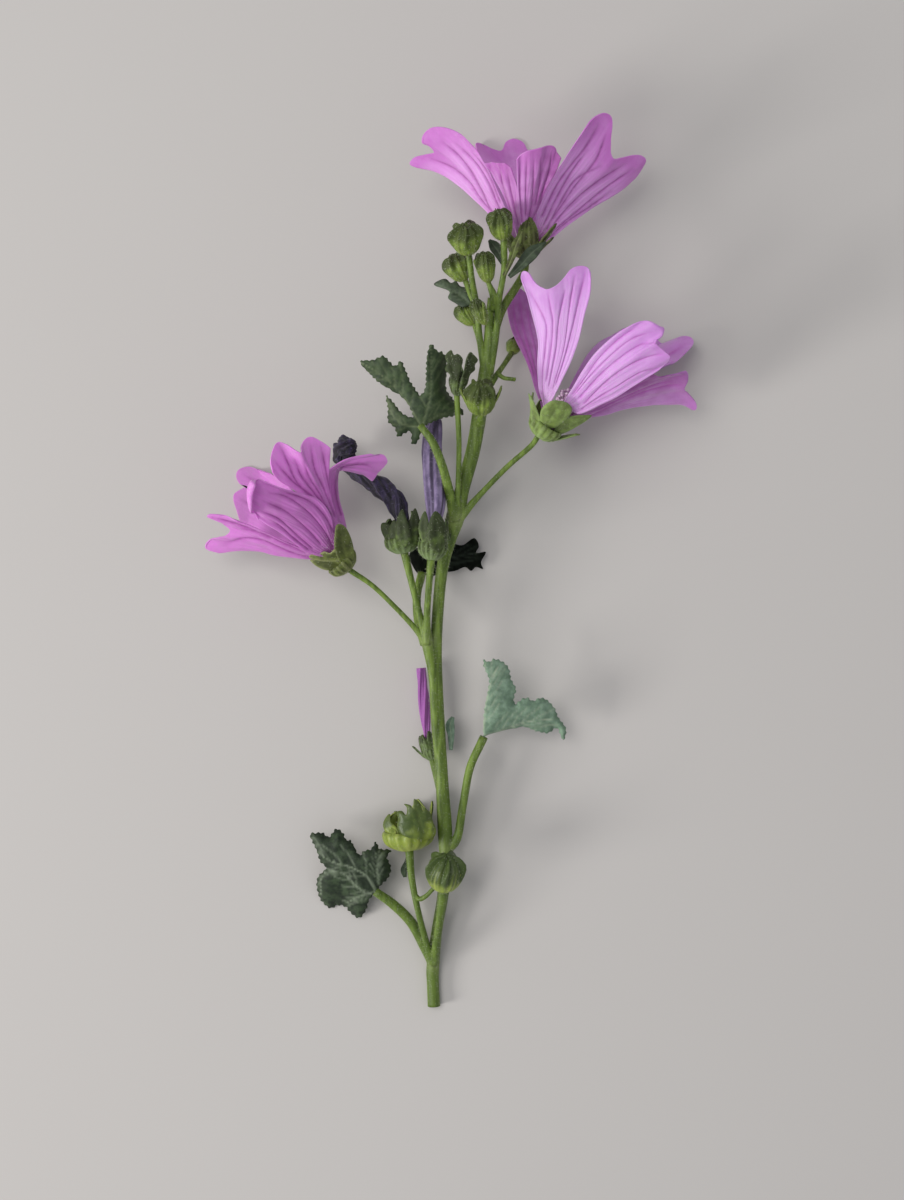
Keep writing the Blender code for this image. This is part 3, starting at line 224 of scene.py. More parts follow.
def addPiece(name, part, material, slotName, *nodes):
    points, faces, marks = part
    mesh = bpy.data.meshes.new(name)
    mesh.from_pydata((np.asarray(points) * mm).tolist(), [], faces)
    addMarks(mesh, marks)
    mesh.materials.append(material)
    piece = bpy.data.objects.new(name, mesh)
    bpy.context.scene.collection.objects.link(piece)
    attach(piece, "root")
    if nodes:
        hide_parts(*nodes)
    return piece


def addNode(node, part, material, slotName):  # a piece that takes one node's place
    return addPiece(pieceName(node), part, material, slotName, node)


def tubeRings(line, sides, shape=None, twist=0.0):  # line holds x, y, z, radius
    centre, radius = line[:, :3], line[:, 3]
    along = unit(np.gradient(centre, axis=0))
    side = unit(np.cross(along, [0.0, 0.0, 1.0]))
    up = np.cross(side, along)
    turn = np.arange(sides) * 2 * math.pi / sides
    share = np.linspace(0.0, 1.0, len(line))[:, None]
    wide = radius[:, None] * (1.0 if shape is None else shape(turn[None, :], share))
    turned = turn[None, :] + twist * share
    spokes = np.cos(turned)[..., None] * up[:, None, :] + np.sin(turned)[..., None] * side[:, None, :]
    return centre[:, None, :] + wide[..., None] * spokes


def placedLine(points, steps):
    return through([(*spot(a, d, h), r) for a, d, h, r in points], steps)


# A head is a bloom, bud or fruit: its foot, its axis, the side that is up, and the side to its right.

seat = 0.3  # mm from the stalk's end to the head's foot


def headFrame(base, tip):
    axis = unit(tip - base)
    up = np.array([0.0, 0.0, 1.0])
    up = unit(up - axis * (up @ axis))
    return base + axis * seat, axis, up, np.cross(axis, up)


def roundHead(head, degrees):
    turn = np.radians(np.asarray(degrees, float))[..., None]
    return np.cos(turn) * head[2] + np.sin(turn) * head[3]


def headPoint(head, degrees, radius, height):
    radius, height = np.asarray(radius, float)[..., None], np.asarray(height, float)[..., None]
    return head[0] + head[1] * height + roundHead(head, degrees) * radius


# Materials.


class Nodes:  # a short way to write node trees
    def __init__(self, name, roughness, shine=0.5, sheen=0.0):
        self.material = bpy.data.materials.new(name)
        self.material.use_nodes = True
        self.tree = self.material.node_tree
        self.shader = self.tree.nodes["Principled BSDF"]
        self.shader.inputs["Roughness"].default_value = roughness
        self.shader.inputs["Specular IOR Level"].default_value = shine
        self.shader.inputs["Sheen Weight"].default_value = sheen
        self.place = self.add("ShaderNodeTexCoord").outputs["Object"]

    def add(self, kind, **values):
        node = self.tree.nodes.new(kind)
        for key, value in values.items():
            setattr(node, key, value)
        return node

    def put(self, value, socket):
        if isinstance(value, bpy.types.NodeSocket):
            self.tree.links.new(value, socket)
        else:
            socket.default_value = (*value, 1.0) if isinstance(value, tuple) and len(value) == 3 else value

    def mark(self, name):
        return self.add("ShaderNodeAttribute", attribute_name=name).outputs["Fac"]

    def sum(self, kind, a, b, clamp=False):
        node = self.add("ShaderNodeMath", operation=kind, use_clamp=clamp)
        self.put(a, node.inputs[0])
        self.put(b, node.inputs[1])
        return node.outputs[0]

    def fit(self, value, low, high, newLow=0.0, newHigh=1.0):
        node = self.add("ShaderNodeMapRange", interpolation_type="SMOOTHSTEP")
        for socket, given in zip(node.inputs, (value, low, high, newLow, newHigh)):
            self.put(given, socket)
        return node.outputs[0]

    def scaled(self, size, stretch=(1.0, 1.0, 1.0)):
        scale = self.add("ShaderNodeMapping")
        self.put(self.place, scale.inputs["Vector"])
        scale.inputs["Scale"].default_value = tuple(1.0 / (size * mm * s) for s in stretch)
        return scale.outputs[0]

    def cloud(self, size, detail=3.0, stretch=(1.0, 1.0, 1.0)):  # noise with features size mm across
        place = self.scaled(size, stretch)
        node = self.add("ShaderNodeTexNoise")
        node.inputs["Scale"].default_value = 1.0
        node.inputs["Detail"].default_value = detail
        node.inputs["Roughness"].default_value = 0.55
        self.put(place, node.inputs["Vector"])
        return node.outputs["Fac"]

    def cells(self, size):  # the distance to the nearest of scattered points size mm apart
        place = self.scaled(size)
        node = self.add("ShaderNodeTexVoronoi")
        node.inputs["Scale"].default_value = 1.0
        self.put(place, node.inputs["Vector"])
        return node.outputs["Distance"]

    def mix(self, share, a, b):
        node = self.add("ShaderNodeMix", data_type="RGBA", clamp_factor=True)
        self.put(share, node.inputs[0])
        self.put(a, node.inputs[6])
        self.put(b, node.inputs[7])
        return node.outputs[2]

    def finish(self, colour, height=None, depth=0.1, strength=0.5):
        self.put(colour, self.shader.inputs["Base Color"])
        if height is not None:
            bumps = self.add("ShaderNodeBump")
            bumps.inputs["Strength"].default_value = strength
            bumps.inputs["Distance"].default_value = depth * mm
            self.put(height, bumps.inputs["Height"])
            self.put(bumps.outputs[0], self.shader.inputs["Normal"])
        return self.material

    def soft(self, weight, radius, scale):
        self.shader.inputs["Subsurface Weight"].default_value = weight
        self.shader.inputs["Subsurface Radius"].default_value = radius
        self.shader.inputs["Subsurface Scale"].default_value = scale * mm


def petalMaterial(name, foot, middle, rim, vein, veinStrength, deep, speck=(0.9, 0.8, 0.9)):
    n = Nodes(name, 0.5, shine=0.3, sheen=0.15)
    along, veins, fine = n.mark("along"), n.mark("vein"), n.mark("fine")
    colour = n.mix(n.fit(along, 0.02, 0.4), foot, middle)
    colour = n.mix(n.fit(along, 0.62, 1.02), colour, rim)
    colour = n.mix(n.fit(n.cloud(3.0, 3.0), 0.42, 0.7, 0.0, 0.3), colour, foot)
    # painted shade: petals turned from the lamps or lying behind others are mixed towards a dark purple at their foot
    # and rim sides
    shaded = n.sum("MULTIPLY", n.mark("deep"), n.fit(n.cloud(2.0, 3.0), 0.3, 0.7, 0.7, 1.0), True)
    colour = n.mix(shaded, colour, deep)
    colour = n.mix(n.sum("MULTIPLY", n.mark("lip"), 0.6, True), colour, rim)
    colour = n.mix(n.sum("MULTIPLY", fine, 0.24 * veinStrength, True), colour, vein)
    streak = n.sum("MULTIPLY", veins, n.fit(n.cloud(0.9, 2.0), 0.2, 0.6, 0.7, 1.0))
    colour = n.mix(n.sum("MULTIPLY", streak, veinStrength, True), colour, vein)
    specks = n.sum("MULTIPLY", n.fit(n.cells(0.45), 0.26, 0.14), n.fit(along, 0.42, 0.12))  # pollen
    colour = n.mix(n.sum("MULTIPLY", specks, 0.6), colour, speck)
    height = n.sum("SUBTRACT", n.cloud(0.2, 2.0), n.sum("ADD", veins, fine))
    n.soft(0.4, (1.0, 0.4, 0.95), 0.8)
    return n.finish(colour, height, 0.06, 0.4)


def greenMaterial(name, light, dark, vein, roughness=0.6, streak=(1.0, 1.0, 1.0), size=1.2, shine=0.35, even=0.0):
    n = Nodes(name, roughness, shine)
    low = tuple(d + even * (c - d) for c, d in zip(light, dark))
    colour = n.mix(n.fit(n.cloud(size, 4.0, streak), 0.35, 0.68), low, light)
    colour = n.mix(n.fit(n.mark("shade"), 0.0, 1.0, 0.0, 0.85), colour, dark)
    colour = n.mix(n.sum("MULTIPLY", n.mark("vein"), 0.8, True), colour, vein)
    dots = n.fit(n.cells(0.35), 0.16, 0.06)
    colour = n.mix(n.sum("MULTIPLY", dots, 0.25), colour, tuple(min(1.0, 1.9 * c) for c in light))
    height = n.sum("ADD", n.cloud(0.3, 3.0, streak), n.sum("MULTIPLY", n.cells(0.35), 0.4))
    n.soft(0.08, (0.6, 1.0, 0.3), 0.6)
    return n.finish(colour, height, 0.07, 0.5)


def fadedMaterial(name, light, dark, edge):
    n = Nodes(name, 0.62, sheen=0.15)
    colour = n.mix(n.fit(n.cloud(0.8, 4.0, (1.0, 3.0, 1.0)), 0.35, 0.7), dark, light)
    # painted shade: the pleat valleys of the rolled petals (the groove mark) are mixed towards a darker colour
    colour = n.mix(n.fit(n.mark("groove"), 0.3, 1.0, 0.0, 0.8), colour, tuple(0.4 * c for c in dark))
    colour = n.mix(n.fit(n.cloud(0.5, 4.0), 0.56, 0.7, 0.0, 0.35), colour, edge)
    return n.finish(colour, n.cloud(0.3, 4.0, (1.0, 4.0, 1.0)), 0.12, 0.8)


def hairMaterial():
    n = Nodes("pale hair", 0.45)
    n.soft(0.1, (1.0, 1.0, 0.8), 0.3)
    return n.finish(n.mix(n.cloud(2.0, 1.0), (0.50, 0.55, 0.36), (0.72, 0.74, 0.60)))


def stamenMaterial():
    n = Nodes("stamens", 0.6)
    colour = n.mix(n.fit(n.mark("along"), 0.3, 0.7), (0.62, 0.34, 0.58), (0.78, 0.58, 0.74))
    colour = n.mix(n.fit(n.cloud(0.4, 2.0), 0.4, 0.6, 0.0, 0.5), colour, (0.36, 0.14, 0.34))
    return n.finish(colour, n.cloud(0.15, 2.0), 0.08, 0.8)


# The stem and its stalks. Each point is (across, down, height, radius), and a stalk ends at its head or leaf.

stem = {
    "sides": 26, "steps": 150, "stalkSides": 14, "ribs": 9, "ribDepth": 0.035, "ribTurn": 6, "tuck": 0.8,
    "line": [
        (434, 1006, 0.95, 1.1), (433, 985, 0.9, 1.05), (433, 966, 1.2, 1.12), (437, 930, 2.3, 0.95), (443, 895, 3.2, 1),
        (446, 860, 4, 1.15), (445, 830, 4.6, 1.3), (442, 780, 5.4, 1.12), (439, 730, 6, 1.1), (437, 690, 6.5, 1.06),
        (436, 650, 7.1, 1.02), (438, 610, 7.8, 0.98), (442, 570, 8.6, 1.02), (449, 540, 9.2, 1.2), (455, 518, 9.7, 1.6),
        (462, 490, 10.2, 1.25), (473, 450, 10.8, 1.24), (480, 410, 11.3, 1.26), (486, 370, 11.8, 1.2),
        (489, 345, 12.1, 1), (490, 318, 12.4, 0.8), (492, 298, 13, 0.7),
    ],
}

stalks = {
    "lowLeaf": [
        (434, 966, 1.5, 0.9), (424, 945, 1.9, 0.95), (411, 922, 2.9, 0.9), (394, 905, 3.8, 0.85), (379, 894, 4.4, 0.75),
    ],
    "lowFruit": [
        (433, 964, 2, 0.7), (427, 945, 3.4, 0.6), (419, 915, 4.6, 0.55), (412, 880, 5, 0.6), (409.5, 852, 5, 0.75),
    ],
    "hook": [(416, 896, 5, 0.4), (420, 899, 5.6, 0.45), (426, 896, 6.3, 0.4), (431, 891, 6.8, 0.36)],
    "midFruit": [(434, 962, 2, 0.8), (436, 945, 4.4, 0.72), (440, 918, 7, 0.72), (443, 892, 8.8, 0.8)],
    "rightLeaf": [
        (446, 850, 4.2, 1), (457, 838, 4.8, 0.8), (463, 805, 5.6, 0.72), (470, 768, 6.4, 0.72), (482, 741, 6.9, 0.75),
    ],
    "pinkBud": [(442, 800, 4.6, 0.7), (437, 780, 3.6, 0.55), (433, 762, 2.8, 0.6)],
    "leftRidge": [(440, 780, 5.6, 0.6), (435.5, 720, 6.6, 0.8), (433, 675, 7.4, 0.85), (426, 636, 8.2, 1.1)],
    "leftBloom": [
        (427, 642, 8.2, 0.9), (414, 627, 8.9, 0.52), (396, 608, 9.6, 0.44), (373, 586, 10.5, 0.43),
        (351, 571, 11.2, 0.5),
    ],
    "fadedLeft": [(427, 644, 8.4, 0.8), (421, 620, 9.2, 0.62), (413, 588, 10.2, 0.58), (405, 555, 10.8, 0.7)],
    "fadedMiddle": [(427, 644, 8.6, 0.8), (427, 615, 10.2, 0.6), (429, 585, 12.2, 0.58), (431, 562, 13.6, 0.7)],
    "underLeaf": [(425, 644, 7.4, 0.9), (418, 620, 5.8, 0.75), (417, 595, 4.2, 0.75), (421, 577, 3.2, 0.75)],
    "upperLeaf": [
        (455, 520, 10.4, 1.1), (450, 495, 12.2, 0.85), (442, 465, 14.6, 0.75), (433, 443, 15.6, 0.7),
        (423, 429, 15.5, 0.6),
    ],
    "leafyBud": [(457, 520, 10.4, 0.7), (458, 490, 12.4, 0.5), (459, 445, 13.7, 0.46), (457, 398, 14, 0.5)],
    "rightBloom": [
        (458, 520, 10, 0.9), (478, 497, 10.2, 0.54), (506, 468, 10.4, 0.48), (530, 447, 10.7, 0.48),
        (537, 438, 11.2, 0.5),
    ],
    "stemBud": [(480, 425, 11.6, 0.9), (482, 415, 14.6, 0.6)],
    "hiddenBud": [(489, 386, 11.4, 0.7), (501, 369, 9, 0.46), (511, 354, 5.6, 0.5)],
    "smallBract": [(498, 374, 10.6, 0.4), (504, 378, 10.9, 0.36), (511, 379, 11.2, 0.34)],
    "topLeft": [
        (486, 378, 12, 0.8), (480, 340, 12.6, 0.56), (477, 308, 13.4, 0.52), (472, 280, 16, 0.52),
        (469, 256, 17.4, 0.55),
    ],
    "leftBud": [(477, 308, 13.4, 0.5), (471, 296, 13.2, 0.46), (466, 282, 12.7, 0.5)],
    "lowestBud": [(481, 347, 12, 0.55), (478, 336, 11, 0.46), (475, 326, 10.2, 0.46)],
    "innerBud": [(492, 310, 13.2, 0.6), (494, 298, 14.4, 0.7), (489, 284, 15.4, 0.42)],
    "topRight": [
        (489, 374, 11.9, 0.8), (496, 335, 12.8, 0.6), (499, 300, 14.4, 0.55), (504, 270, 16.6, 0.52),
        (504, 241, 18.6, 0.6),
    ],
    "topBloom": [
        (491, 345, 12, 0.8), (501, 312, 11.8, 0.75), (515, 289, 11.8, 0.7), (524, 273, 12, 0.65), (526, 260, 12.3, 0.6),
    ],
}

# pale joints on the stem, and how its lower part darkens from one picture row to another
collars = [
    (428, 640, 8.4, 1.3), (456, 520, 10.2, 1.7), (434, 964, 1.4, 1.2), (446, 848, 4.4, 1.3), (480, 424, 11.6, 0.9),
]
lowShade = {"from": 700.0, "over": 180.0, "share": 0.5}


def stalkEnd(name):
    return spot(*stalks[name][-1][:3])


def ribbed(turn, share):
    return 1.0 + stem["ribDepth"] * np.cos(stem["ribs"] * turn + stem["ribTurn"] * share)


def makeStem(material):
    line = placedLine(stem["line"], stem["steps"])
    shaft = addPiece("stemAndStalks", body(tubeRings(line, stem["sides"], ribbed), {}), material, "stem", "stem")
    group = bpy.data.collections.new("stalks")
    bpy.context.scene.collection.children.link(group)
    for name, points in stalks.items():
        line = placedLine(points, 9 * (len(points) - 1))
        end = line[-1] + stem["tuck"] * np.append(unit(line[-1, :3] - line[-2, :3]), 0)
        line = np.vstack([line, end])
        mesh = bpy.data.meshes.new("stalk" + name)
        points, faces, _ = body(tubeRings(line, stem["stalkSides"]), {})
        mesh.from_pydata((points * mm).tolist(), [], faces)
        group.objects.link(bpy.data.objects.new("stalk" + name, mesh))
    join = shaft.modifiers.new("Join", "BOOLEAN")
    join.operation, join.operand_type, join.collection, join.solver = "UNION", "COLLECTION", group, "EXACT"
    bpy.context.view_layer.update()
    mesh = bpy.data.meshes.new_from_object(shaft.evaluated_get(bpy.context.evaluated_depsgraph_get()))
    shaft.modifiers.clear()
    shaft.data = mesh
    for obj in list(group.objects):
        bpy.data.objects.remove(obj)
    bpy.data.collections.remove(group)
    points = np.empty(len(mesh.vertices) * 3)
    mesh.vertices.foreach_get("co", points)
    points = points.reshape(-1, 3) / mm
    points[:, 2] = np.maximum(points[:, 2], 0.0)
    mesh.vertices.foreach_set("co", (points * mm).ravel())
    pale = sum(bump(np.linalg.norm(points - spot(a, d, h), axis=1), r) for a, d, h, r in collars)
    low = lowShade["share"] * smooth((seenAt(points)[:, 1] - lowShade["from"]) / lowShade["over"])
    addMarks(mesh, {"vein": np.clip(pale, 0, 1) * 0.8, "shade": low})
    return shaft


# Calyces: a cup, its sepals and bracts (degrees round the head, lean, length, half width and, for a
# sepal, curl), and traced sepals, which are small leaves with rim points (across, down, height).

sepals = {
    "rows": 24, "columns": 19, "thick": 0.3, "ragged": 0.08, "folds": 0.10, "crumple": 0.16,
    "outline": ((0, 0.12, 0.3, 0.55, 0.76, 0.9, 1.0), (0.9, 1.0, 1.0, 0.88, 0.6, 0.32, 0.04)),  # way up, width
    "rib": 0.1, "sideRib": 0.42, "sideRibWidth": 0.08,
}
cups = {
    "rows": 20, "columns": 110, "thick": 0.34, "ribs": 15, "ribDepth": 0.03, "crumple": 0.10,
    "dark": 0.7, "bractCurl": 6,
}

sepalShapes = {
    "bud_leafy": [
        {
            "origin": (456, 394, 14.6), "arch": 0.3, "margin": 0.2,
            "rim": [
                (450, 383, 15.2), (450, 375, 15.6), (445, 370, 15.6), (447, 363, 16), (445, 356, 16), (451, 350, 16.2),
                (454, 355, 16.4), (458, 354, 16.4), (463, 360, 16.4), (460, 372, 16), (460, 384, 15.2),
            ],
            "veins": [[(456, 392), (454, 375), (450, 354)]],
        },
        {
            "origin": (459, 393, 15), "arch": 0.3, "tips": 0.6, "margin": 0.2,
            "rim": [
                (461, 380, 16), (464, 369, 16.6), (466, 359, 16.6), (470, 352, 16.2), (474, 355, 16), (478, 360, 15.8),
                (475, 365, 15.6), (475, 370, 15.4), (470, 375, 15.4), (467, 385, 15.2),
            ],
            "veins": [[(459, 392), (465, 374), (472, 357)]],
        },
    ],
    "calyx_right_bloom": [
        {
            "origin": (544, 428, 14), "patch": 3, "tips": 0, "arch": 0.5, "dark": 0.5, "margin": 0.4, "ribs": 0.3,
            "rim": [
                (540, 420, 14.8), (541, 410, 16.4), (546, 404, 17.2), (553, 400.5, 17.6), (562, 401, 17.6),
                (569, 404, 17.2), (572, 410, 16.6), (568, 418, 15.6), (562, 423, 14.8), (555, 428, 14),
            ],
            "veins": [[(546, 427), (554, 414), (563, 403)], [(545, 424), (545, 408)], [(556, 426), (570, 410)]],
        },
        {
            "origin": (553, 431, 12.8), "patch": 3, "tips": 0, "dark": 0.6, "margin": 0.4, "ribs": 0.3,
            "rim": [
                (558, 423, 14.6), (564, 417.5, 15.4), (576, 415.5, 15.2), (584, 415, 14.8), (592, 415.5, 14.2),
                (586, 421, 13.4), (578, 426, 12.8), (569, 431, 12.4), (561, 434, 12.2),
            ],
            "veins": [[(555, 431), (570, 424), (590, 416)]],
        },
        {
            "origin": (538, 437, 12.6), "patch": 3, "tips": 0, "arch": 0.3, "dark": 0.2, "margin": 0.7,
            "rim": [
                (533, 430, 13.2), (531, 418, 13.8), (530, 405, 14.6), (528.5, 393, 15), (534, 402, 15.4),
                (538, 412, 15.2), (543, 425, 14.4), (545, 433, 13.6),
            ],
            "veins": [[(538, 436), (534, 415), (529, 394)]],
        },
    ],
    "calyx_left_bloom": [
        {
            "origin": (350, 571, 12.4), "patch": 3, "arch": 0.5, "dark": 1, "tips": 0.6, "margin": 0.35,
            "rim": [
                (344, 569, 12.8), (339, 561, 14.2), (334.5, 549, 16.2), (334.5, 536, 17), (336.5, 525, 17.4),
                (343, 525, 17.2), (348, 531, 16.8), (352, 541, 15.8), (354, 551, 14.8), (354.5, 560, 13.8),
                (353, 566, 13),
            ],
            "veins": [[(349, 570), (343, 548), (340, 527)], [(350, 566), (351, 546)]],
        },
        {
            "origin": (343, 570, 12.2), "patch": 3, "arch": 0.3, "dark": 1.3, "tips": 0.5, "margin": 0.6,
            "rim": [
                (334, 570.5, 11.4), (325, 570, 11), (316, 566, 10.8), (310, 560, 10.8), (314, 559.5, 11.8),
                (323, 558.5, 13), (333, 560, 13.8), (341, 563, 13.6),
            ],
            "veins": [[(342, 568), (327, 565), (312, 560)]],
        },
        {
            "origin": (341, 561, 14), "patch": 3, "tips": 0, "arch": 0.2, "dark": 0, "margin": 0.9,
            "rim": [
                (331, 561.5, 13.4), (320, 561, 12.4), (309.5, 558, 12), (311, 554.5, 13.2), (318, 554.5, 14.6),
                (324, 551.5, 15.4), (330, 553, 15.8), (335, 549, 16), (341, 552, 15.4),
            ],
            "veins": [[(341, 557), (326, 557), (312, 556)]],
        },
    ],
    "calyx_faded_left": [
        {
            "origin": (414, 547, 13.8), "tips": 0.9,
            "rim": [
                (407, 541, 14), (407, 529, 14), (410, 518, 13.9), (415, 508, 13.6), (419, 517, 13.6), (422, 530, 13.3),
                (420, 541, 13.2),
            ],
            "veins": [[(414, 546), (415, 528), (415, 511)]],
        },
        {
            "origin": (405, 547, 14.5), "arch": 0.5, "tips": 0.9,
            "rim": [
                (397, 541, 13.9), (395.5, 530, 14.4), (397, 519, 14.6), (402, 509, 14.5), (406, 517, 14.8),
                (410, 529, 14.8), (412, 541, 14.5),
            ],
            "veins": [[(405, 546), (403, 528), (402, 512)]],
        },
        {
            "origin": (393, 545, 12.6), "arch": 0.3, "tips": 0.8,
            "rim": [
                (386, 540, 11.8), (381, 530, 11.6), (382, 523, 11.6), (389, 524, 12.2), (394, 532, 12.8),
                (398, 542, 13.2),
            ],
            "veins": [[(392, 544), (384, 525)]],
        },
        {
            "origin": (399, 546, 13.4), "arch": 0.2, "tips": 0.8,
            "rim": [(391, 543, 12.8), (389, 531, 13), (393, 520, 13.2), (398, 524, 13.6), (402, 536, 13.8)],
            "veins": [[(397, 544), (394, 522)]],
        },
    ],
    "calyx_faded_middle": [
        {
            "origin": (427, 548, 15.9), "dark": 1.1, "margin": 0.3,
            "rim": [
                (421.5, 541, 15.4), (418.5, 530, 15.5), (420, 520, 15.7), (425, 511, 15.8), (428.5, 521, 16.2),
                (430, 540, 16.2),
            ],
            "veins": [[(427, 547), (424, 530), (425, 514)]],
        },
        {
            "origin": (438, 553, 16.5), "arch": 0.5, "dark": 1.6, "margin": 0.15,
            "rim": [
                (429.5, 546, 16.6), (427.5, 531, 16.9), (430.5, 518, 17), (435.5, 511, 16.8), (442, 517, 16.6),
                (446.5, 528, 16), (446, 542, 15.8),
            ],
            "veins": [[(438, 551), (437, 530), (436, 514)]],
        },
    ],
    "calyx_low_fruit": [
        {
            "origin": (427, 840, 8.8), "dark": 2, "patch": 1.4, "margin": 0.12,
            "rim": [
                (417, 839, 9.6), (406, 837, 9.6), (399, 832, 9), (397, 825, 8.8), (398, 819, 8.8), (397, 812, 8.8),
                (402, 811, 9.2), (406, 815, 9.6), (407, 808, 9.6), (404, 804, 9.4), (410, 805, 9.8), (413, 808, 10),
                (414, 799, 10), (419, 803, 9.8), (423, 811, 9.6), (425, 808, 9.4), (431, 814, 8.8), (433, 822, 8.4),
                (436, 830, 8), (434, 837, 7.8),
            ],
            "veins": [[(426, 838), (420, 822), (415, 803)], [(427, 838), (430, 816)]],
        },
        {
            "origin": (391, 834, 7.4), "arch": 0.2, "dark": 1.6, "patch": 1.4, "margin": 0.2,
            "rim": [
                (385, 831, 6.4), (383, 824, 6.2), (386, 817, 6.4), (390, 814, 6.8), (391, 822, 7.2), (397, 828, 8),
                (399, 834, 8.4),
            ],
            "veins": [[(391, 833), (388, 818)]],
        },
    ],
}

tracedLook = {"ribs": 0.1, "arch": 0.4, "dark": 1.9, "tips": 0.7, "patch": 1.2, "margin": 0.1}


def sepalSheet(head, degrees, foot, lean, reach, wide, curl, seed, dark):
    u = np.linspace(0, 1, sepals["rows"])[:, None]
    s = np.linspace(-1, 1, sepals["columns"])[None, :]
    angle = np.radians(lean + curl * u)
    step = reach / (sepals["rows"] - 1)
    radius = foot[0] + np.cumsum(np.sin(angle), 0) * step
    height = foot[1] + np.cumsum(np.cos(angle), 0) * step
    edge = np.stack(np.broadcast_arrays(9 * u, np.sign(s), 0.0 * s), -1)
    half = wide * np.interp(u, *sepals["outline"])
    side = half * s * (1 + sepals["ragged"] * grain(edge, 1.0, seed) * smooth(3 * u))
    bend = np.maximum(foot[0], 1.0) * (1 + 0.9 * u)
    turn = side / bend
    grid = headPoint(head, degrees, radius - bend * (1 - np.cos(turn)), height)
    grid = grid + (bend * np.sin(turn))[..., None] * roundHead(head, degrees + 90)
    grid = grid - (sepals["folds"] * wide * np.cos(6.0 * s) * u)[..., None] * roundHead(head, degrees)
    grid = grid + gridNormals(grid, False) * (sepals["crumple"] * grain(grid, 1.0, seed) * u)[..., None]
    rib = bump(s, sepals["rib"]) + 0.6 * bump(np.abs(s) - sepals["sideRib"], sepals["sideRibWidth"])
    margin = smooth((np.abs(s) - 0.82) / 0.18)
    vein = rib * (1 - 0.8 * u) + 0.7 * margin
    shade = dark * smooth(1.2 * u - 0.12) * (0.75 + 0.5 * grain(grid, 0.8, seed + 4))
    marks = {"vein": np.clip(vein, 0, 1), "shade": np.clip(shade - 0.5 * margin, 0, 1)}
    return sheet(grid, sepals["thick"], marks)


def cupSheet(head, cup):
    width, depth, rows, columns = cup["radius"], cup["depth"], cup["rows"], cup["columns"]
    degrees = 360.0 / columns * np.arange(columns)[None, :]
    low = [(0.10 * width, 0.2), (0.5 * width, 0.28 + 0.03 * depth), (0.9 * width, 0.3 + 0.34 * depth)]
    profile = through(low + [(width, 0.8 * depth), (0.94 * width, depth)], rows - 1)
    u = np.linspace(0, 1, rows)[:, None]
    ribs = np.cos(np.radians(degrees) * cup["ribs"])
    wave = 1 + cup["ribDepth"] * ribs * smooth(2 * u)
    grid = headPoint(head, degrees, profile[:, :1] * wave, profile[:, 1:] + 0 * degrees)
    grid = grid + gridNormals(grid, True) * (cup["crumple"] * grain(grid, 1.2, 3))[..., None]
    pale = 0.9 * smooth(1 - 1.5 * u) + 0.35 * (ribs > 0.6)
    marks = {"vein": np.clip(pale, 0, 1), "shade": 0.3 * smooth(1.5 * u - 0.6) + 0 * degrees}
    return sheet(grid, cup["thick"], marks, closed=True)


def tracedSepals(node):
    return [{**tracedLook, **sepal} for sepal in sepalShapes.get(node, [])]


def makeCalyx(node, head, cup, material, slotName):
    cup = {**cups, **cup}
    parts = [cupSheet(head, cup)]
    width, depth, dark = cup["radius"], cup["depth"], cup["dark"]
    foot, bractFoot = (0.97 * width, 0.6 * depth), (0.85 * width, 0.3 * depth)
    for seed, (degrees, lean, reach, wide, curl) in enumerate(cup["sepals"]):
        parts.append(sepalSheet(head, degrees, foot, lean, reach, wide, curl, seed, dark))
    for seed, (degrees, lean, reach, wide) in enumerate(cup["bracts"], 9):
        parts.append(sepalSheet(head, degrees, bractFoot, lean, reach, wide, cup["bractCurl"], seed, dark))
    parts += [leafSheet(sepal, seed) for seed, sepal in enumerate(tracedSepals(node), 20)]
    return addNode(node, joined(parts), material, slotName)


# Buds and the closed fruit. Their ears are the raised seams between the sepals, and dusk is how far
# up they darken. A base is a stalk's name, or a place.

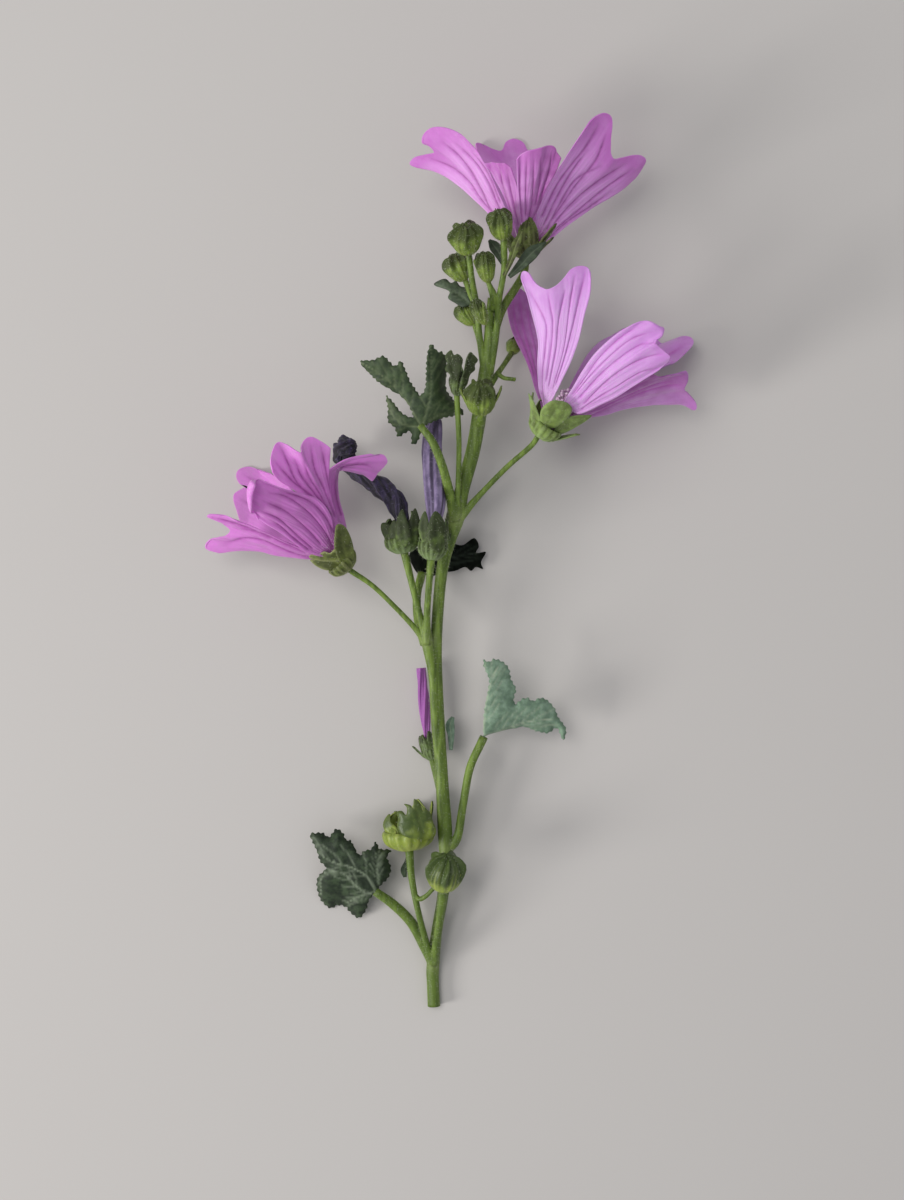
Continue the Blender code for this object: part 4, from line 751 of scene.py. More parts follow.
buds = {
    "bud_top_left": {
        "base": "topLeft", "tip": (463, 219, 21.3), "radius": 2.45, "height": 5.4, "turn": 24, "ears": 0.42,
        "bracts": [(-100, 30, 3.6, 0.7), (95, 40, 3.2, 0.8)],
    },
    "bud_top_middle": {
        "base": "topRight", "tip": (497, 209, 22), "radius": 1.95, "height": 5.2, "turn": 60, "ears": 0.2,
        "bracts": [(-80, 24, 3.4, 0.7), (84, 20, 3.6, 0.6), (0, 12, 3, 0.5)],
    },
    "bud_left": {
        "base": "leftBud", "tip": (448, 249, 13.6), "radius": 2, "height": 4.8, "turn": 0, "ears": 0.34,
        "bracts": [(80, 20, 3.2, 0.6)],
    },
    "bud_inner": {
        "base": "innerBud", "tip": (482, 252, 18), "radius": 1.5, "height": 5.2, "turn": 40, "ears": 0.3,
        "bracts": [(90, 14, 3.6, 0.9), (-80, 20, 4, 0.9)],
    },
    "bud_lowest": {
        "base": "lowestBud", "tip": (458, 302, 9.4), "radius": 1.55, "height": 4.4, "turn": 10, "ears": 0.3,
        "bracts": [(60, 16, 3, 0.7)],
    },
    "bud_leafy": {
        "base": "leafyBud", "tip": (459, 352, 15.6), "radius": 1.3, "height": 3.8, "turn": 30, "ears": 0.3,
        "bracts": [(180, 14, 5.4, 1.4)],
    },
    "bud_on_stem": {
        "base": "stemBud", "tip": (478, 372, 20.4), "radius": 2.6, "height": 6.2, "turn": 12, "ears": 0.16,
        "bracts": [(-96, 30, 5, 1.3), (80, 34, 5.4, 0.9), (-40, 12, 3.4, 1.2), (24, 12, 3.2, 1.2)],
    },
    "bud_hidden": {"base": "hiddenBud", "tip": (518, 334, 2.6), "radius": 1.3, "height": 3.3, "turn": 0, "bracts": []},
    "bud_side": {
        "base": (486, 326, 14.6), "tip": (474, 300, 16.4), "radius": 1.05, "height": 4.6, "turn": 20, "ears": 0.3,
        "bracts": [(60, 20, 3.4, 0.8), (-70, 16, 3, 0.6)],
    },
    "fruit_on_stem": {
        "base": "midFruit", "tip": (447, 846, 12), "radius": 3.1, "height": 6.9, "turn": 36, "ears": 0.22, "dusk": 0.3,
        "bracts": [(-80, 20, 4.6, 0.8), (80, 28, 4.6, 1.1)],
    },
}

budShape = {
    "steps": 44, "columns": 110, "ribs": 15, "ears": 0.2, "dusk": 0.5, "valley": 0.08, "crumple": 0.14,
    "profile": [  # shares of the radius and of the height
        (0.16, -0.02), (0.44, 0.04), (0.78, 0.18), (0.97, 0.38), (1.0, 0.58), (0.88, 0.76), (0.5, 0.92), (0.12, 1.0),
    ],
    "bractFoot": (0.5, 0.08), "bractCurl": -16, "bractDark": 0.7,
}


def budBody(head, bud, seed):
    width, height, columns = bud["radius"], bud["height"], bud["columns"]
    profile = through(bud["profile"], bud["steps"])
    u = np.linspace(0, 1, len(profile))[:, None]
    degrees = 360.0 / columns * np.arange(columns)[None, :]
    away = np.abs((degrees - bud["turn"] + 36) % 72 - 36) / 36.0  # 0 along a sepal's middle, 1 where two meet
    seam, valley = bump(1 - away, 0.2), bump(away - 0.6, 0.18)
    ear = smooth((u - 0.28) / 0.4) * smooth((0.98 - u) / 0.16)
    ribs = 0.025 * np.cos(np.radians(degrees) * bud["ribs"])
    swell = 1 + (bud["ears"] * seam - bud["valley"] * valley) * ear + ribs
    rise = height * (0.10 * seam * ear + 0.05 * (1 - away) * smooth(2.4 * u - 1))
    rings = headPoint(head, degrees + 30 * u**3, width * profile[:, :1] * swell, height * profile[:, 1:] + rise)
    out = unit(rings - rings.mean(1, keepdims=True))
    rings = rings + out * (bud["crumple"] * grain(rings, 0.9, seed) * smooth(2 * u - 0.5))[..., None]
    rib = bump(away, 0.1) + 0.7 * bump(away - 0.4, 0.08)
    pale = 0.5 * smooth(1 - 2.6 * u)
    dusk = 1.15 * smooth((u - bud["dusk"]) / 0.25)
    shade = np.clip(dusk + 0.55 * seam * smooth((u - 0.3) / 0.3), 0, 1)
    return body(rings, {"vein": np.clip(rib * smooth(1.3 - 1.5 * u) + pale, 0, 1) * 0.8, "shade": shade})


def makeBud(node, bud, material, seed):
    bud = {**budShape, **bud}
    base = stalkEnd(bud["base"]) if isinstance(bud["base"], str) else spot(*bud["base"])
    head = headFrame(base, spot(*bud["tip"]))
    parts = [budBody(head, bud, seed)]
    foot = (bud["bractFoot"][0] * bud["radius"], bud["bractFoot"][1] * bud["height"])
    for degrees, lean, reach, wide in bud["bracts"]:
        parts.append(sepalSheet(head, degrees, foot, lean, reach, wide, bud["bractCurl"], seed + 3, bud["bractDark"]))
    parts += [leafSheet(sepal, seed + 30) for sepal in tracedSepals(node)]
    return addNode(node, joined(parts), material, "bud")


# Blooms. A petal's azimuth is in degrees round its bloom's axis. Its edges and rim are points (across,
# down, height), and a fourth value on the rim is the degrees that the lip rolls over there. Painted shade
# darkens the foot's and the rim's two sides of petals that face away from the lamps or lie behind others.

petals = {
    "claw": 1.35, "foot": 2.6,  # radius and height where petals start
    "spread": 25.0, "late": 2.2,  # degrees to each side of the azimuth, and how late the lobes begin
    "rows": 66, "lipRows": 7, "columns": 81, "thick": 0.24, "lowest": 0.16, "waves": 0.14,
    "streakGroove": 0.26, "fineGroove": 0.05, "wrinkle": 0.12,  # mm
    "fineVeins": 15, "fineWidth": 0.13, "fork": 0.16, "deep": ((0.0, 0.0), (0.0, 0.0)),
}

blooms = {
    "top": {
        "stalk": "topBloom", "streak": 2.1, "tip": (522, 205, 13.6),
        "cup": {
            "radius": 2.7, "depth": 2.5,
            "sepals": [
                (10, 16, 5.2, 2, -6), (80, 38, 4.6, 1.8, 0), (-62, 26, 4.6, 1.8, 0), (150, 24, 4.4, 1.8, 0),
                (222, 24, 4.4, 1.8, 0),
            ],
            "bracts": [(66, 50, 3.6, 0.7), (180, 30, 3, 0.7)],
        },
    },
    "right": {
        "stalk": "rightBloom", "streak": 1.6, "tip": (575, 386, 15),
        "cup": {
            "radius": 2.9, "depth": 2.9, "dark": 0.35, "sepals": [(152, 20, 5, 1.9, 0), (224, 20, 5, 1.9, 0)],
            "bracts": [(-84, 26, 5.4, 0.7), (104, 40, 4.6, 0.8)],
        },
    },
    "left": {
        "stalk": "leftBloom", "streak": 2.3, "tip": (315, 535, 13.6),
        "cup": {
            "radius": 2.7, "depth": 2.5, "dark": 0.55, "sepals": [(128, 22, 5.4, 1.9, 0), (198, 20, 4.4, 1.8, 0)],
            "bracts": [],
        },
    },
}

petalShapes = {
    "petal_top_bloom_1": {
        "azimuth": -100, "deep": ((0.3, 0.3), (0, 0)),
        "left": [(505, 228), (492, 217), (485, 208), (477, 198), (468, 186), (459, 177), (449, 171.5)],
        "rim": [
            (437, 168.5, 10.5), (422, 168.6, 10.8), (411, 165, 11.2), (411.5, 161, 11.6), (416, 157, 12),
            (424.4, 155, 12.6), (434, 153, 13.8), (431.5, 146, 15, 60), (425, 142, 15.5, 110), (424.5, 136, 16.3, 110),
            (429, 130.5, 17.2, 80), (437, 127.3, 18, 20), (448, 128.5, 18.8), (460, 134.8, 19.4), (470, 142.5, 19.8),
        ],
        "right": [(513, 226), (506, 209), (498, 191), (489, 171), (479, 153)],
        "streaks": [
            [(443, 142), (456, 153), (468, 167), (481, 189), (489, 207), (499, 221)],
            [(456, 143), (476, 163), (489, 183), (497, 203), (504, 219)],
            [(432, 159), (453, 168), (469, 182), (480, 198), (491, 211)],
            [(472, 152), (484, 167), (493, 184), (500, 202)],
        ],
    },
    "petal_top_bloom_2": {
        "azimuth": -32, "spread": 27, "deep": ((0.2, 0.5), (0.3, 0.4)),
        "left": [(515, 226), (508, 208), (500, 188), (492, 173)],
        "rim": [(485.5, 163.5, 21), (492, 162.6, 21.8), (498, 163.6, 22.8), (505, 163.6, 23.8), (511.5, 168.5, 24.4)],
        "right": [(521, 224), (518.5, 206), (517.5, 188)],
        "streaks": [
            [(490, 167), (493.5, 184), (501, 203), (509, 221)], [(500, 165), (502.5, 184), (508, 204), (514, 223)],
            [(507, 167), (510, 186), (514, 206), (518, 224)],
        ],
    },
    "petal_top_bloom_3": {
        "azimuth": 32, "spread": 27, "deep": ((0.2, 0.9), (0.1, 0.85)),
        "left": [(521.5, 226), (519, 207), (517.5, 186)],
        "rim": [
            (516.5, 160, 26.4), (521, 154.5, 27), (527, 151.8, 27.6, 20), (534, 150.4, 28, 30), (541, 148.4, 27.8, 20),
            (550, 145.6, 27.4), (556, 149.4, 26.6), (560.5, 158.5, 25.6),
        ],
        "right": [(530, 228), (539, 208), (545.6, 190), (555, 173)],
        "streaks": [
            [(520, 163), (520, 190), (522, 222)], [(534, 162), (533.3, 187), (531, 209), (527, 226)],
            [(546, 174), (542.2, 196), (535, 216), (529, 229)], [(527, 158), (526, 184), (526, 215)],
            [(541, 158), (540, 180), (536, 204)], [(552, 152), (549, 172), (541, 196)],
        ],
    },
    "petal_top_bloom_4": {
        "azimuth": 100, "left": [(534, 229), (537.8, 208), (546.7, 187), (560, 165), (573, 145)],
        "rim": [
            (583, 130.5, 20), (590, 121.5, 19.4), (597, 115.8, 18.8), (604.4, 113.2, 18), (610.3, 117, 17.2),
            (612.5, 127, 16.6), (611, 142, 15.6), (610, 153, 14.8), (613.5, 159, 14.2), (622, 158, 13),
            (633, 155.3, 11.8), (641, 155.8, 10.8), (646, 160, 9.6), (643.2, 167, 8.4), (634, 179, 7.2),
        ],
        "right": [(541, 243.5), (550, 240), (562, 230), (578, 218), (596, 205.6), (611, 197), (622, 189.5)],
        "streaks": [
            [(588, 150), (571, 173), (556.7, 197.8), (544.4, 224.4)],
            [(601, 166), (578, 178), (564.4, 195.6), (547, 229)],
            [(633, 169), (604.4, 188.9), (577.8, 211), (551, 233.3)],
            [(611, 191), (593.3, 204.4), (568.9, 221), (550, 237)],
            [(599, 124), (584.4, 149), (560, 180), (542.2, 215.6)], [(606, 135), (596, 160), (574, 188), (552, 220)],
            [(625, 164), (600, 180), (572, 203), (549, 231)],
        ],
    },
    "petal_top_bloom_5": {
        "azimuth": 180, "deep": ((0.5, 0.5), (0.25, 0.25)), "left": [(533, 228), (538, 206), (543, 182)],
        "rim": [
            (543, 165, 0.6), (534, 158, -0.6), (527, 153, -1.4), (522, 145.9, -2), (513.3, 142.4, -2),
            (505.6, 145.8, -2), (501.5, 153, -1.4), (493, 150.6, -0.8), (483, 144.6, 0.2), (476, 143.6, 1),
            (476.5, 150, 2), (480, 157, 3),
        ],
        "right": [(514, 228), (503, 207), (493, 187), (485, 169)], "streaks": [],
    },
    "petal_right_bloom_1": {
        "azimuth": -50, "left": [(543.5, 408), (538.5, 388), (537.4, 365), (538.5, 343), (534, 321), (528.6, 299)],
        "rim": [
            (523, 284, 19.5), (520.6, 275.5, 19.8), (523, 270.8, 20.2), (529.7, 274, 20.6), (536.3, 283.7, 20.8),
            (543, 288, 21), (548.5, 289.4, 21.2), (556.2, 286, 21.5), (564, 277, 21.9), (571.6, 269.6, 22.2),
            (580.5, 266, 22.4), (588, 268.5, 22.3), (591.3, 279, 22),
        ],
        "right": [(548, 408), (556, 393), (563, 378.6), (571.6, 361), (579.4, 339), (585, 315), (590.5, 295)],
        "streaks": [
            [(529.7, 290.3), (537, 305), (546.3, 325), (545, 350), (542, 378.6), (543.5, 402)],
            [(548.5, 293), (551, 310), (553, 323), (551, 347), (546.5, 380)],
            [(565, 291), (559, 320), (556, 350), (549, 385)], [(575, 275), (570, 305), (564, 348), (553, 388)],
            [(585, 275), (579, 300), (572, 330), (565, 357), (556, 384)],
        ],
    },
    "petal_right_bloom_2": {
        "azimuth": 22, "deep": ((0, 0.45), (0, 0.1)),
        "left": [(560, 408), (566, 398), (572.7, 387.4), (581.6, 372), (593.7, 354.8), (607, 341.6), (620, 331.5)],
        "rim": [
            (633.4, 323.8, 24), (644.5, 321.2, 24.5, -20), (653.3, 324.9, 24.6, -90), (660.5, 330.5, 24.4, -130),
            (661, 336.5, 24.2, -110), (655.5, 342.5, 24.2), (663, 350.5, 23.6), (669.5, 356.5, 23), (666.5, 363.5, 22),
            (658, 369.9, 21),
        ],
        "right": [(571, 413), (578, 414), (587, 411.5), (600, 405), (613.6, 398.4), (631, 387.4), (644.5, 378.6)],
        "streaks": [
            [(655, 343), (640, 345), (620, 358), (600, 375), (580, 397)],
            [(650, 332), (630, 340), (610, 356), (590, 376), (575, 394)],
            [(664, 353), (645, 358), (625, 368), (605, 383), (585, 403)],
            [(658, 368), (640, 373), (618, 386), (598, 398), (582, 409)],
            [(638, 326), (620, 338), (600, 357), (584, 379), (573, 394)],
        ],
    },
    "petal_right_bloom_3": {
        "azimuth": 94, "deep": ((1, 0.5), (0.9, 0.4)), "left": [(576, 411), (595, 402), (615, 392), (635, 381)],
        "rim": [
            (652, 374, 16.5), (661, 377.5, 15.5), (673, 374.5, 14.8, -60), (683, 374, 13.8, -120),
            (686.5, 380.5, 12.6, -120), (682.5, 388.3, 11.4, -40), (688.6, 394, 9.8), (694.6, 401.5, 8.2),
            (696.2, 408.5, 7.2), (692.5, 409.5, 6.6), (688, 403, 6.4), (682, 397, 6.2),
        ],
        "right": [(583, 419), (604.7, 414), (622.4, 405.5), (642.3, 398.9), (658, 395.3), (672, 393.2)],
        "streaks": [
            [(655, 377), (630, 389), (605, 404), (588, 414)],
            [(683, 384), (665, 386), (640, 393), (610, 407), (590, 416)],
            [(672, 380), (650, 386), (622, 398), (598, 410)],
        ],
    },
    "petal_right_bloom_4": {
        "azimuth": 166, "deep": ((0.7, 0.7), (0.3, 0.3)), "left": [(575, 408), (600, 397), (625, 385), (650, 373)],
        "rim": [
            (668, 365, 6.4), (677.6, 361, 6), (686.4, 352, 5), (693.2, 343.5, 4), (690.8, 337.8, 3.4),
            (682, 336.8, 2.4), (671, 340.5, 0.6), (662, 345, -0.8), (650, 337, -1.6), (636, 329, -2), (622, 330.5, -2),
        ],
        "right": [(562, 402), (569, 388), (577, 372), (588, 354), (600, 342), (612, 336)],
        "streaks": [
            [(686, 344), (668, 356), (645, 370)], [(640, 338), (610, 358), (580, 390)],
            [(610, 342), (590, 362), (572, 392)],
        ],
    },
    "petal_right_bloom_5": {
        "azimuth": 238, "deep": ((0.9, 0.9), (0.75, 0.75)), "left": [(548, 402), (551, 375), (554, 345), (555, 320)],
        "rim": [
            (553, 303, 2.2), (544, 292, 1.4), (536, 290, 1.2), (527, 293.5, 1.6), (518.5, 288, 2.2), (510, 288.3, 3.2),
            (506.8, 295, 4.4),
        ],
        "right": [(541, 406), (535.2, 389.6), (529.7, 372), (523, 354.3), (514.3, 336.6), (508.8, 318)],
        "streaks": [
            [(512, 295), (515, 325), (524, 350), (532, 375)], [(519, 292), (522, 325), (530, 355), (537, 385)],
            [(526, 300), (529, 325), (535, 355), (540, 390)],
        ],
    },
    "petal_left_bloom_1": {
        "azimuth": -92, "deep": ((0.5, 0.5), (0.2, 0.2)),
        "left": [(335, 562), (320, 560.5), (307, 559), (295, 557), (279, 553.6), (267, 548.2), (250, 545.2)],
        "rim": [
            (234, 545.5, 6), (226, 550, 6.2), (219, 553, 6.6), (211, 549.6, 7, 60), (207.8, 545, 7.4, 110),
            (210.8, 540, 8, 90), (217, 538.3, 8.8), (225, 536, 9.6), (231, 530, 10.2), (225, 525.3, 10.8),
            (215, 520.3, 11.2), (207.6, 515.7, 11.6), (213, 513.8, 12.2), (227, 517.4, 13), (238, 521.5, 13.8),
        ],
        "right": [(332, 556), (307, 551), (291, 545), (275, 537), (255, 528)],
        "streaks": [
            [(226, 543), (245, 538), (265, 541), (290, 552), (312, 558)],
            [(236, 527), (262, 534), (285, 544), (305, 553)], [(212, 517), (230, 522), (250, 529), (270, 538)],
        ],
    },
    "petal_left_bloom_2": {
        "azimuth": -18, "spread": 29, "deep": ((0.8, 0.8), (0.1, 0.1)),
        "left": [(330, 557), (318, 556), (305, 551), (295, 543.5), (283, 534), (271, 526.5)],
        "rim": [
            (260, 519, 21, 60), (255.5, 511, 22.4, 130), (252.5, 500, 24, 165), (252, 490, 25, 170),
            (255, 482.5, 25.4, 150), (260, 480, 25.4, 60), (266, 483.5, 25),
        ],
        "right": [(337, 546), (333.5, 527), (329, 512), (319, 500), (307, 495.5), (291, 491.5), (277, 487.5)],
        "streaks": [
            [(269, 493), (287, 497), (307, 511), (323, 529), (333, 546)],
            [(263, 501), (285, 511), (303, 525), (320, 543)], [(262, 511), (279, 519), (295, 533), (312, 548)],
            [(280, 491), (307, 500), (323, 514), (334, 532)], [(266, 517), (280, 526), (295, 539), (308, 549)],
        ],
    },
    "petal_left_bloom_3": {
        "azimuth": 48, "left": [(336, 542), (330, 523), (318, 509), (304, 497), (290, 487.5), (279, 481)],
        "rim": [
            (272.5, 473, 22), (270.8, 461, 21.6), (273.2, 448, 21.2), (279, 442, 21), (287, 444.3, 21),
            (295, 450.6, 21), (301.3, 452.5, 21), (302, 445, 20.4), (306, 438.9, 20), (313, 437.5, 19.6),
            (322, 441.2, 19), (330, 449, 18.4),
        ],
        "right": [(341, 537), (336.5, 516), (332, 499), (329, 482), (329, 466)],
        "streaks": [
            [(276, 463), (285, 473), (295, 483), (312, 496), (326, 512)],
            [(281, 448), (289, 465), (297, 482), (313, 499)], [(304, 461), (309, 477), (319, 493), (331, 514)],
            [(311, 447), (315, 469), (325, 491), (335, 516)], [(321, 447), (325, 465), (329, 485), (335, 507)],
            [(295, 460), (301, 475), (313, 491), (327, 509)], [(331, 457), (333, 480), (337, 505), (341, 528)],
        ],
    },
    "petal_left_bloom_4": {
        "azimuth": 114, "late": 6, "deep": ((0.2, 0.2), (0, 0)),
        "left": [
            (343, 531, 13.2), (334, 517, 13.4), (327, 499, 14.2), (326, 483, 15.2), (328.5, 471, 16.6),
            (333, 466.5, 17.4), (344, 460, 18), (356, 456.5, 17.2),
        ],
        "rim": [
            (369, 454.3, 16.2), (381, 454.8, 15.2), (387.5, 459.5, 14.4), (384, 466, 13.8), (378, 472, 13.2),
            (372.5, 480, 12.2), (369.3, 475, 13),
        ],
        "right": [
            (346, 532, 12.2), (343.5, 516, 12), (339.5, 502, 12.2), (337.6, 488, 12.8), (337.8, 476, 13.8),
            (340, 470, 14.8), (347, 470.5, 15.2), (356, 471.6, 14.8), (364, 472.6, 14),
        ],
        "streaks": [
            [(336, 470), (334, 485), (335.5, 500), (340, 515)], [(372, 467), (362, 463), (350, 464), (340, 467)],
        ],
    },
    "petal_left_bloom_5": {
        "azimuth": 184, "deep": ((0.5, 0.5), (0.3, 0.3)), "left": [(336, 547), (318, 522), (300, 499), (284, 482)],
        "rim": [
            (271, 474.3, 2.4), (261, 470.4, 0.6), (249, 467.5, -1), (240.3, 470.8, -2), (238.3, 478, -2),
            (242, 485, -2), (248, 487, -2), (243, 490, -2), (236.3, 495, -2), (235.8, 503, -2), (238.3, 513, -1.4),
            (241, 521, -0.6),
        ],
        "right": [(326, 557), (300, 549), (276, 538), (257, 529)],
        "streaks": [[(245, 475), (265, 488), (290, 510)], [(242, 500), (262, 511), (285, 525)]],
    },
}


def petalEdge(start, marks, end, count):  # heights that aren't given rise evenly from start to end
    picked = [(*seenAt(start), start[2])] + [tuple(mark) for mark in marks] + [tuple(end[:3])]
    flat = np.array([mark[:2] for mark in picked])
    run = runAlong(flat)
    known = [k for k, mark in enumerate(picked) if len(mark) > 2]
    heights = np.interp(run, run[known], [picked[k][2] for k in known])
    return evenly([spot(*place, height) for place, height in zip(flat, heights)], count)


def petalLip(rim, inside, outward, roll):  # rows that roll over where the rim says so
    along = unit(rim - inside)
    back = unit(np.cross(np.cross(along, outward), along))
    rows = petals["lipRows"]
    tight, far = np.minimum(1.0, np.abs(roll) / 110.0), smooth((np.abs(roll) - 115.0) / 45.0)
    reach = ((0.05 + 0.5 * tight + 2.3 * far) / rows)[:, None]
    lips = [rim]
    for k in range(1, rows + 1):
        turn = np.radians(roll * (k - 0.5) / rows)[:, None]
        lips.append(lips[-1] + (np.cos(turn) * along + np.sin(turn) * back) * reach)
    return np.array(lips[1:])


def petalStreaks(grid, lines, streak, number):  # broad veins along the traced lines
    places = seenAt(grid)
    vein = np.zeros(grid.shape[:2])
    for line in lines:
        line = np.array(line, float)
        far = farFrom(places, through(line, 24)) * (1 + 0.45 * grain(grid, 1.8, number + 3))
        tip = smooth((np.linalg.norm(places - line[0], axis=-1)) / 16.0)
        soft = 0.62 * bump(far, streak) + 0.38 * bump(far, 0.4 * streak)
        vein = np.maximum(vein, soft * (0.35 + 0.65 * tip))
    return vein


def petalFine(grid, run, s, number):  # forking fine veins
    random.seed(40 + number)
    width = np.linalg.norm(grid[:, -1] - grid[:, 0], axis=1)[:, None] / 2.0
    fine = np.zeros(grid.shape[:2])
    for count in range(petals["fineVeins"]):
        first = -0.93 + 1.86 * count / (petals["fineVeins"] - 1) + random.uniform(-0.03, 0.03)
        fork = random.uniform(0.3, 0.65)
        for part in (-1, 1):
            path = first + part * petals["fork"] * np.maximum(run - fork, 0) + 0.03 * np.sin(6 * run + 5 * first)
            far = np.abs(s[None] - path) * width
            fine = np.maximum(fine, bump(far, petals["fineWidth"]) * (1 - 0.75 * smooth((run - 0.55) / 0.4)))
    return fine


def petalSheet(head, petal, number, streak):
    petal = {**petals, **petal}
    rows, columns = petal["rows"], petal["columns"]
    s = np.linspace(-1.0, 1.0, columns)
    u = (0.5 + 0.5 * s)[None, :, None]
    t = np.linspace(0.0, 1.0, rows)[:, None, None]
    degrees = petal["azimuth"] + petal["spread"] * s
    outward = roundHead(head, degrees)[None]
    foot = headPoint(head, degrees, np.full(columns, petal["claw"]), np.full(columns, petal["foot"]))
    rim = evenly([(*spot(*point[:3]), point[3] if len(point) > 3 else 0.0) for point in petal["rim"]], columns)
    roll, rim = rim[:, 3], rim[:, :3]
    left = petalEdge(foot[0], petal["left"], petal["rim"][0], rows)[:, None]
    right = petalEdge(foot[-1], petal["right"], petal["rim"][-1], rows)[:, None]
    late = t ** petal["late"]
    arc = foot - (1 - u) * foot[0] - u * foot[-1]
    lobes = rim - (1 - u) * rim[0] - u * rim[-1]
    grid = (1 - u) * left + u * right + (1 - t) ** 2 * arc + late * lobes
    belly = 4 * u * (1 - u) * np.sin(math.pi * t) * (1.1 * t - 0.28)
    waves = petal["waves"] * t * np.cos(4 * math.pi * s)[None, :, None]
    grid = grid + outward * (belly + waves)
    grid = np.concatenate([grid, petalLip(grid[-1], grid[-4], outward[0], roll)])
    run = np.concatenate([t[:, 0, 0], np.full(petals["lipRows"], 1.0)])[:, None] + 0 * s[None]
    vein = petalStreaks(grid, petal["streaks"], streak, number)
    fine = np.maximum(0.0, petalFine(grid, run, s, number) - vein)
    wrinkle = petal["wrinkle"] * grain(grid, 3.4, number) * smooth(run * 2)
    lift = -petal["streakGroove"] * vein * smooth(run * 5) + wrinkle - petal["fineGroove"] * fine
    normals = gridNormals(grid, False)
    side = np.sign(np.sum(normals * outward, axis=-1).mean()) or 1.0
    grid = grid + normals * side * lift[..., None]
    grid[..., 2] = np.maximum(grid[..., 2], petal["lowest"])
    # painted shade, darker at the foot and rim sides of petals that face away from the lamps or lie behind others
    low, high = petal["deep"]
    share = u[..., 0]
    deep = (1 - run) * (low[0] + (low[1] - low[0]) * share) + run * (high[0] + (high[1] - high[0]) * share)
    lip = np.concatenate([0 * t[:, 0, 0], np.linspace(0, 1, petals["lipRows"])])[:, None]
    lip = lip * np.minimum(1, np.abs(roll) / 60)[None]
    marks = {"along": run, "vein": vein, "fine": fine, "deep": deep, "lip": lip}
    return sheet(grid, petal["thick"], marks, edge=0.6)


stamens = {
    "foot": 2.0, "column": [(0.0, 0.6), (2.5, 0.5), (4.6, 0.5), (5.6, 0.55), (7.2, 0.4)],  # height, radius
    "sides": 16, "steps": 20, "heads": 60, "turn": 137.5, "headHeights": (4.9, 7.6),
    "knot": 1.5, "knotMiddle": 8.3, "knotHalf": 1.7, "headSizes": (0.2, 0.28), "thread": 0.06,
    "headShape": [(0.0, -1.0), (0.7, -0.7), (1.0, 0.0), (0.7, 0.7)],  # radius, level
}


def stamenKnot(head, number):
    foot, sides = stamens["foot"], stamens["sides"]
    levels = through(stamens["column"], stamens["steps"])
    turn = np.arange(sides)[None, :] * (360.0 / sides)
    column = headPoint(head, turn, levels[:, 1:] * np.ones_like(turn), foot + levels[:, :1] + 0 * turn)
    parts = [body(column, {"along": np.linspace(0, 0.6, stamens["steps"] + 1)[:, None]})]
    random.seed(70 + number)
    for count in range(stamens["heads"]):
        height = foot + random.uniform(*stamens["headHeights"])
        degrees = count * stamens["turn"]
        level = (height - stamens["knotMiddle"]) / stamens["knotHalf"]
        reach = stamens["knot"] * math.sqrt(max(0.1, 1 - level**2)) * random.uniform(0.75, 1.05)
        centre = headPoint(head, degrees, reach, height)
        out = unit(roundHead(head, degrees) + head[1] * 0.4)
        size = random.uniform(*stamens["headSizes"])
        side = unit(np.cross(out, head[1]))
        other = np.cross(out, side)
        angles = np.arange(8) * math.pi / 4
        rings = []
        for wide, level in stamens["headShape"]:
            around = np.cos(angles)[:, None] * side * 1.3 + np.sin(angles)[:, None] * other
            rings.append(centre + out * level * size + around * max(wide, 0.3) * size)
        parts.append(body(rings, {"along": 1.0}))
        root = headPoint(head, degrees, 0.4, height - 0.5)
        line = np.array([(*(root + (centre - root) * k), stamens["thread"]) for k in (0.0, 0.5, 1.0)])
        parts.append(body(tubeRings(line, 4), {"along": 0.5}))
    return joined(parts)


def makeBloom(place, bloom, petalLook, calyxLook, stamenLook, number):
    head = headFrame(stalkEnd(bloom["stalk"]), spot(*bloom["tip"]))
    calyx = makeCalyx(f"calyx_{place}_bloom", head, bloom["cup"], calyxLook, "calyx")
    addNode(f"stamens_{place}_bloom", stamenKnot(head, number), stamenLook, "stamens")
    for count in range(1, 6):
        node = f"petal_{place}_bloom_{count}"
        blade = petalSheet(head, petalShapes[node], 10 * number + count, bloom["streak"])
        addNode(node, blade, petalLook, "petal")
    return calyx


# Faded flowers: petals rolled up and twisted into a cord, along points (across, down, height, radius).

